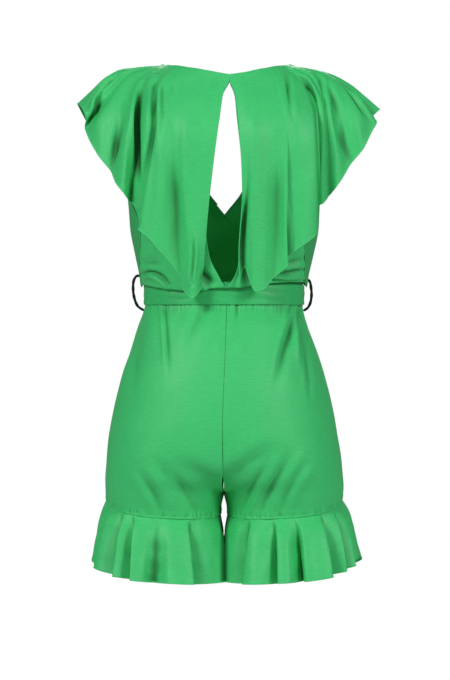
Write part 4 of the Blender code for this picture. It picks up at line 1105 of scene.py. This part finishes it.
def belt_loop(side):
    """A thread loop that stands off the side seam and carries the belt; both ends taper to a point."""
    node = "belt_loop_" + SIDE_NAMES[side]
    path = through([(side * x, 0.0, z) for x, z in LOOP[side]], 10)
    run = run_of(path)
    share = np.linspace(0.0, 1.0, len(path))
    taper = 1 - LOOP_TAPER * np.abs(2 * share - 1) ** 6
    radii = LOOP_RADIUS * taper * (1 + LOOP_RELIEF * np.sin(run / LOOP_TURN))
    ahead = unit(np.gradient(path, axis=0))
    aside = unit(np.cross(ahead, (0.0, 1.0, 0.0)))
    up = np.cross(aside, ahead)
    turns = np.linspace(0.0, 2 * np.pi, LOOP_SIDES, endpoint=False)
    rings = np.stack([path + radii[:, None] * (np.cos(t) * aside + np.sin(t) * up) for t in turns], axis=1)
    vertices = np.concatenate([rings.reshape(-1, 3), path[:1], path[-1:]])
    around = np.tile(turns * float(np.max(radii)), len(path))
    coordinates = np.stack([np.repeat(run, LOOP_SIDES), around], axis=1)
    coordinates = np.concatenate([coordinates, ((0.0, 0.0), (run[-1], 0.0))])
    faces = round_faces(len(path), LOOP_SIDES)
    piece = link(node + "_thread", vertices, faces, (loop_thread,), coordinates)
    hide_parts(node)


def belt_knot():
    """The knot: the band drawn through and wrapped once about itself, pleated, with a raised middle turn."""
    length, _, height = KNOT_SIZE
    along = np.linspace(0.0, np.pi, KNOT_ROWS + 2)[1:-1, None]
    around = np.linspace(0.0, 2 * np.pi, KNOT_COLUMNS, endpoint=False)[None, :]
    round_form = np.stack(np.broadcast_arrays(
        np.cos(along), np.sin(along) * np.cos(around), np.sin(along) * np.sin(around)), axis=-1)
    form = signed_power(round_form, KNOT_SQUARENESS) * np.array(KNOT_SIZE) / 2
    wrap = smooth_step((np.sin(along + 0.22 * np.sin(around)) - 0.70) / 0.12)
    pleats = KNOT_PLEATS * np.sin(21.0 * (along + 0.30 * np.sin(around + 0.6)) + 1.3 * np.sin(2 * around))
    gathers = KNOT_GATHERS * np.sin(9 * around + 2.0 * np.cos(along)) * np.sin(along)
    relief = pleats * wrap + gathers * (1 - wrap)
    form = form + unit(round_form / np.array(KNOT_SIZE)) * (relief + KNOT_WRAP * (wrap - 1))[..., None]
    form += (0.0, KNOT_Y, KNOT_Z)
    reach = length / 2 - KNOT_WRAP
    vertices = np.concatenate([form.reshape(-1, 3), ((reach, KNOT_Y, KNOT_Z), (-reach, KNOT_Y, KNOT_Z))])
    # painted shade in the hollows of the gathers and along the edges of the middle turn
    painted_lightness_share = np.clip(1 + relief / KNOT_GATHERS, 0.15, 1.0)
    painted_lightness_share *= 1 - 0.8 * hump(wrap, 0.5, 0.25)
    flat = np.stack(np.broadcast_arrays(around * height / 2, along * length / 2), axis=-1).reshape(-1, 2)
    flat = np.concatenate([flat, ((0.0, 0.0), (0.0, length))])
    faces = round_faces(KNOT_ROWS, KNOT_COLUMNS)
    # painted shade at the knot's two tips
    painted_lightness_share = np.concatenate([painted_lightness_share.ravel(), (0.4, 0.4)])
    piece = link("belt_knot_satin", vertices, faces, (belt_satin,), flat, painted_lightness_share=painted_lightness_share)
    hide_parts("belt_knot")


# The pieces


PANEL_SIDES = (("first column", edged, HEM), ("last column", turned_in, SIDE_SEAM),
               ("first row", turned_in, WAIST_SEAM), ("last row", turned_in, SHOULDER_SEAM))
FLOUNCE_SIDES = (("last row", edged, HEM), ("first column", edged, HEM), ("last column", edged, HEM),
                 ("first row", turned_in, WAIST_SEAM))
SHORTS_SIDES = (("first column", turned_in, SIDE_SEAM), ("last column", turned_in, SIDE_SEAM),
                ("first row", turned_in, WAIST_SEAM), ("last row", edged, SEAM_RIDGE))
RUFFLE_SIDES = (("last row", edged, HEM), ("first column", turned_in, SIDE_SEAM),
                ("last column", turned_in, SIDE_SEAM), ("first row", tucked_under, RUFFLE_SEAM))
TAIL_SIDES = tuple((edge, edged, FOLDED) for edge in ("first column", "last column", "last row"))
BAND_SIDES = tuple((edge, edged, FOLDED) for edge in ("first row", "last row"))

for side in SIDES:
    belt_loop(side)
belt_knot()

coarse_trees = [tree_of(coarse_panel(side, face)) for side in SIDES for face in FACES]
panels = {(side, face): bodice_panel(side, face) for side in SIDES for face in FACES}
fine_trees = [tree_of(grid) for grid in panels.values()]
for (side, face), grid in panels.items():
    # painted shade of the arms on the bodice fronts
    painted_arm_shade = smooth_step((grid[..., 1] + ARM_SHADE_FRONT) / ARM_SHADE_DEPTH)
    painted_arm_shade = painted_arm_shade * smooth_step((ARM_SHADE_TOP - grid[..., 2]) / ARM_SHADE_FADE)
    dress(FACE_NAMES[face] + "_" + SIDE_NAMES[side], grid, from_axis(grid), PANEL_SIDES, SATINS,
          sheltered=ARM_SHADE * painted_arm_shade if face == FRONT else 0.0)

for side in SIDES:
    rows = flounce(side, neckline(side, coarse_panel(side, FRONT)), coarse_trees, fine_trees)
    dress("flounce_" + SIDE_NAMES[side], rows, from_axis(rows), FLOUNCE_SIDES, SATINS)
    for face in FACES:
        outward = np.array([0.0, face, 0.0])
        ending = FACE_NAMES[face] + "_" + SIDE_NAMES[side]
        dress("shorts_" + ending, shorts_panel(side, face), outward, SHORTS_SIDES, SATINS)
        rows = ruffle(side, face)
        # painted shade on the ruffles where the legs meet
        inner_leg_shade = 1 - smooth_step((np.abs(rows[..., 0]) - INNER_LEG_START) / INNER_LEG_BREADTH)
        dress("ruffle_" + ending, rows, outward, RUFFLE_SIDES, SATINS,
              sheltered=INNER_LEG_SHADE * inner_leg_shade, depth=INNER_LEG_FOLD_SHADE)
    dress("belt_tail_" + SIDE_NAMES[side], belt_tail(side), np.array([0.0, FRONT, 0.0]), TAIL_SIDES,
          BELT_SATINS, "belt_satin", thickness=BELT_SATIN)

rows = belt_band()
dress("belt_band", rows, from_axis(rows), BAND_SIDES, BELT_SATINS, "belt_satin", thickness=BELT_SATIN)


# Stage


FLOOR_Z, FLOOR_REACH, FLOOR_COLOUR = -1.4, 3.0, (0.62, 0.62, 0.62, 1.0)
AIM = (0.0, 0.0, -0.40)
VIEW_HEIGHT = 1.122  # what the picture takes in, from its top to its bottom
SENSOR = 36.0  # millimetres
EYE = (-0.00165, 20.0, -0.4546)


def area_light(name, place, size, power):
    light = bpy.data.lights.new(name, "AREA")
    light.shape = "DISK"
    light.size = size
    light.energy = power
    lamp = bpy.data.objects.new(name, light)
    lamp.location = place
    lamp.rotation_euler = (Vector(AIM) - Vector(place)).to_track_quat("-Z", "Y").to_euler()
    bpy.context.scene.collection.objects.link(lamp)


def floor_plane():
    corners = [(x * FLOOR_REACH, y * FLOOR_REACH, FLOOR_Z) for x, y in ((-1, -1), (1, -1), (1, 1), (-1, 1))]
    mesh = bpy.data.meshes.new("floor")
    mesh.from_pydata(corners, [], [(0, 1, 2, 3)])
    finish = Nodes("pale_floor")
    finish.fill(finish.shader, {"Base Color": FLOOR_COLOUR, "Roughness": 0.8})
    mesh.materials.append(finish.material)
    floor = bpy.data.objects.new("floor", mesh)
    bpy.context.scene.collection.objects.link(floor)


def studio_world(strength):
    """Plain white to look at, with a softer light of its own."""
    world = bpy.data.worlds.new("studio")
    world.use_nodes = True
    tree = world.node_tree
    light = tree.nodes["Background"]
    light.inputs[0].default_value = (1.0, 1.0, 1.0, 1.0)
    light.inputs[1].default_value = strength
    white = tree.nodes.new("ShaderNodeBackground")
    white.inputs[0].default_value = (1.0, 1.0, 1.0, 1.0)
    path = tree.nodes.new("ShaderNodeLightPath")
    join = tree.nodes.new("ShaderNodeMixShader")
    tree.links.new(path.outputs["Is Camera Ray"], join.inputs[0])
    tree.links.new(light.outputs[0], join.inputs[1])
    tree.links.new(white.outputs[0], join.inputs[2])
    tree.links.new(join.outputs[0], tree.nodes["World Output"].inputs[0])
    bpy.context.scene.world = world


floor_plane()
studio_world(0.17)
area_light("left", (3.0, 3.6, 2.2), 1.6, 150.0)
area_light("right", (-3.3, 3.6, 1.6), 1.6, 118.0)
area_light("front", (0.0, -4.6, 1.6), 2.4, 130.0)

camera = bpy.data.cameras.new("camera")
camera.sensor_fit = "VERTICAL"
camera.sensor_height = SENSOR
camera.lens = SENSOR * EYE[1] / VIEW_HEIGHT
eye = bpy.data.objects.new("camera", camera)
eye.location = EYE
eye.rotation_euler = (math.pi / 2, 0.0, math.pi)
bpy.context.scene.collection.objects.link(eye)
bpy.context.scene.camera = eye
bpy.context.scene.view_settings.view_transform = "Standard"
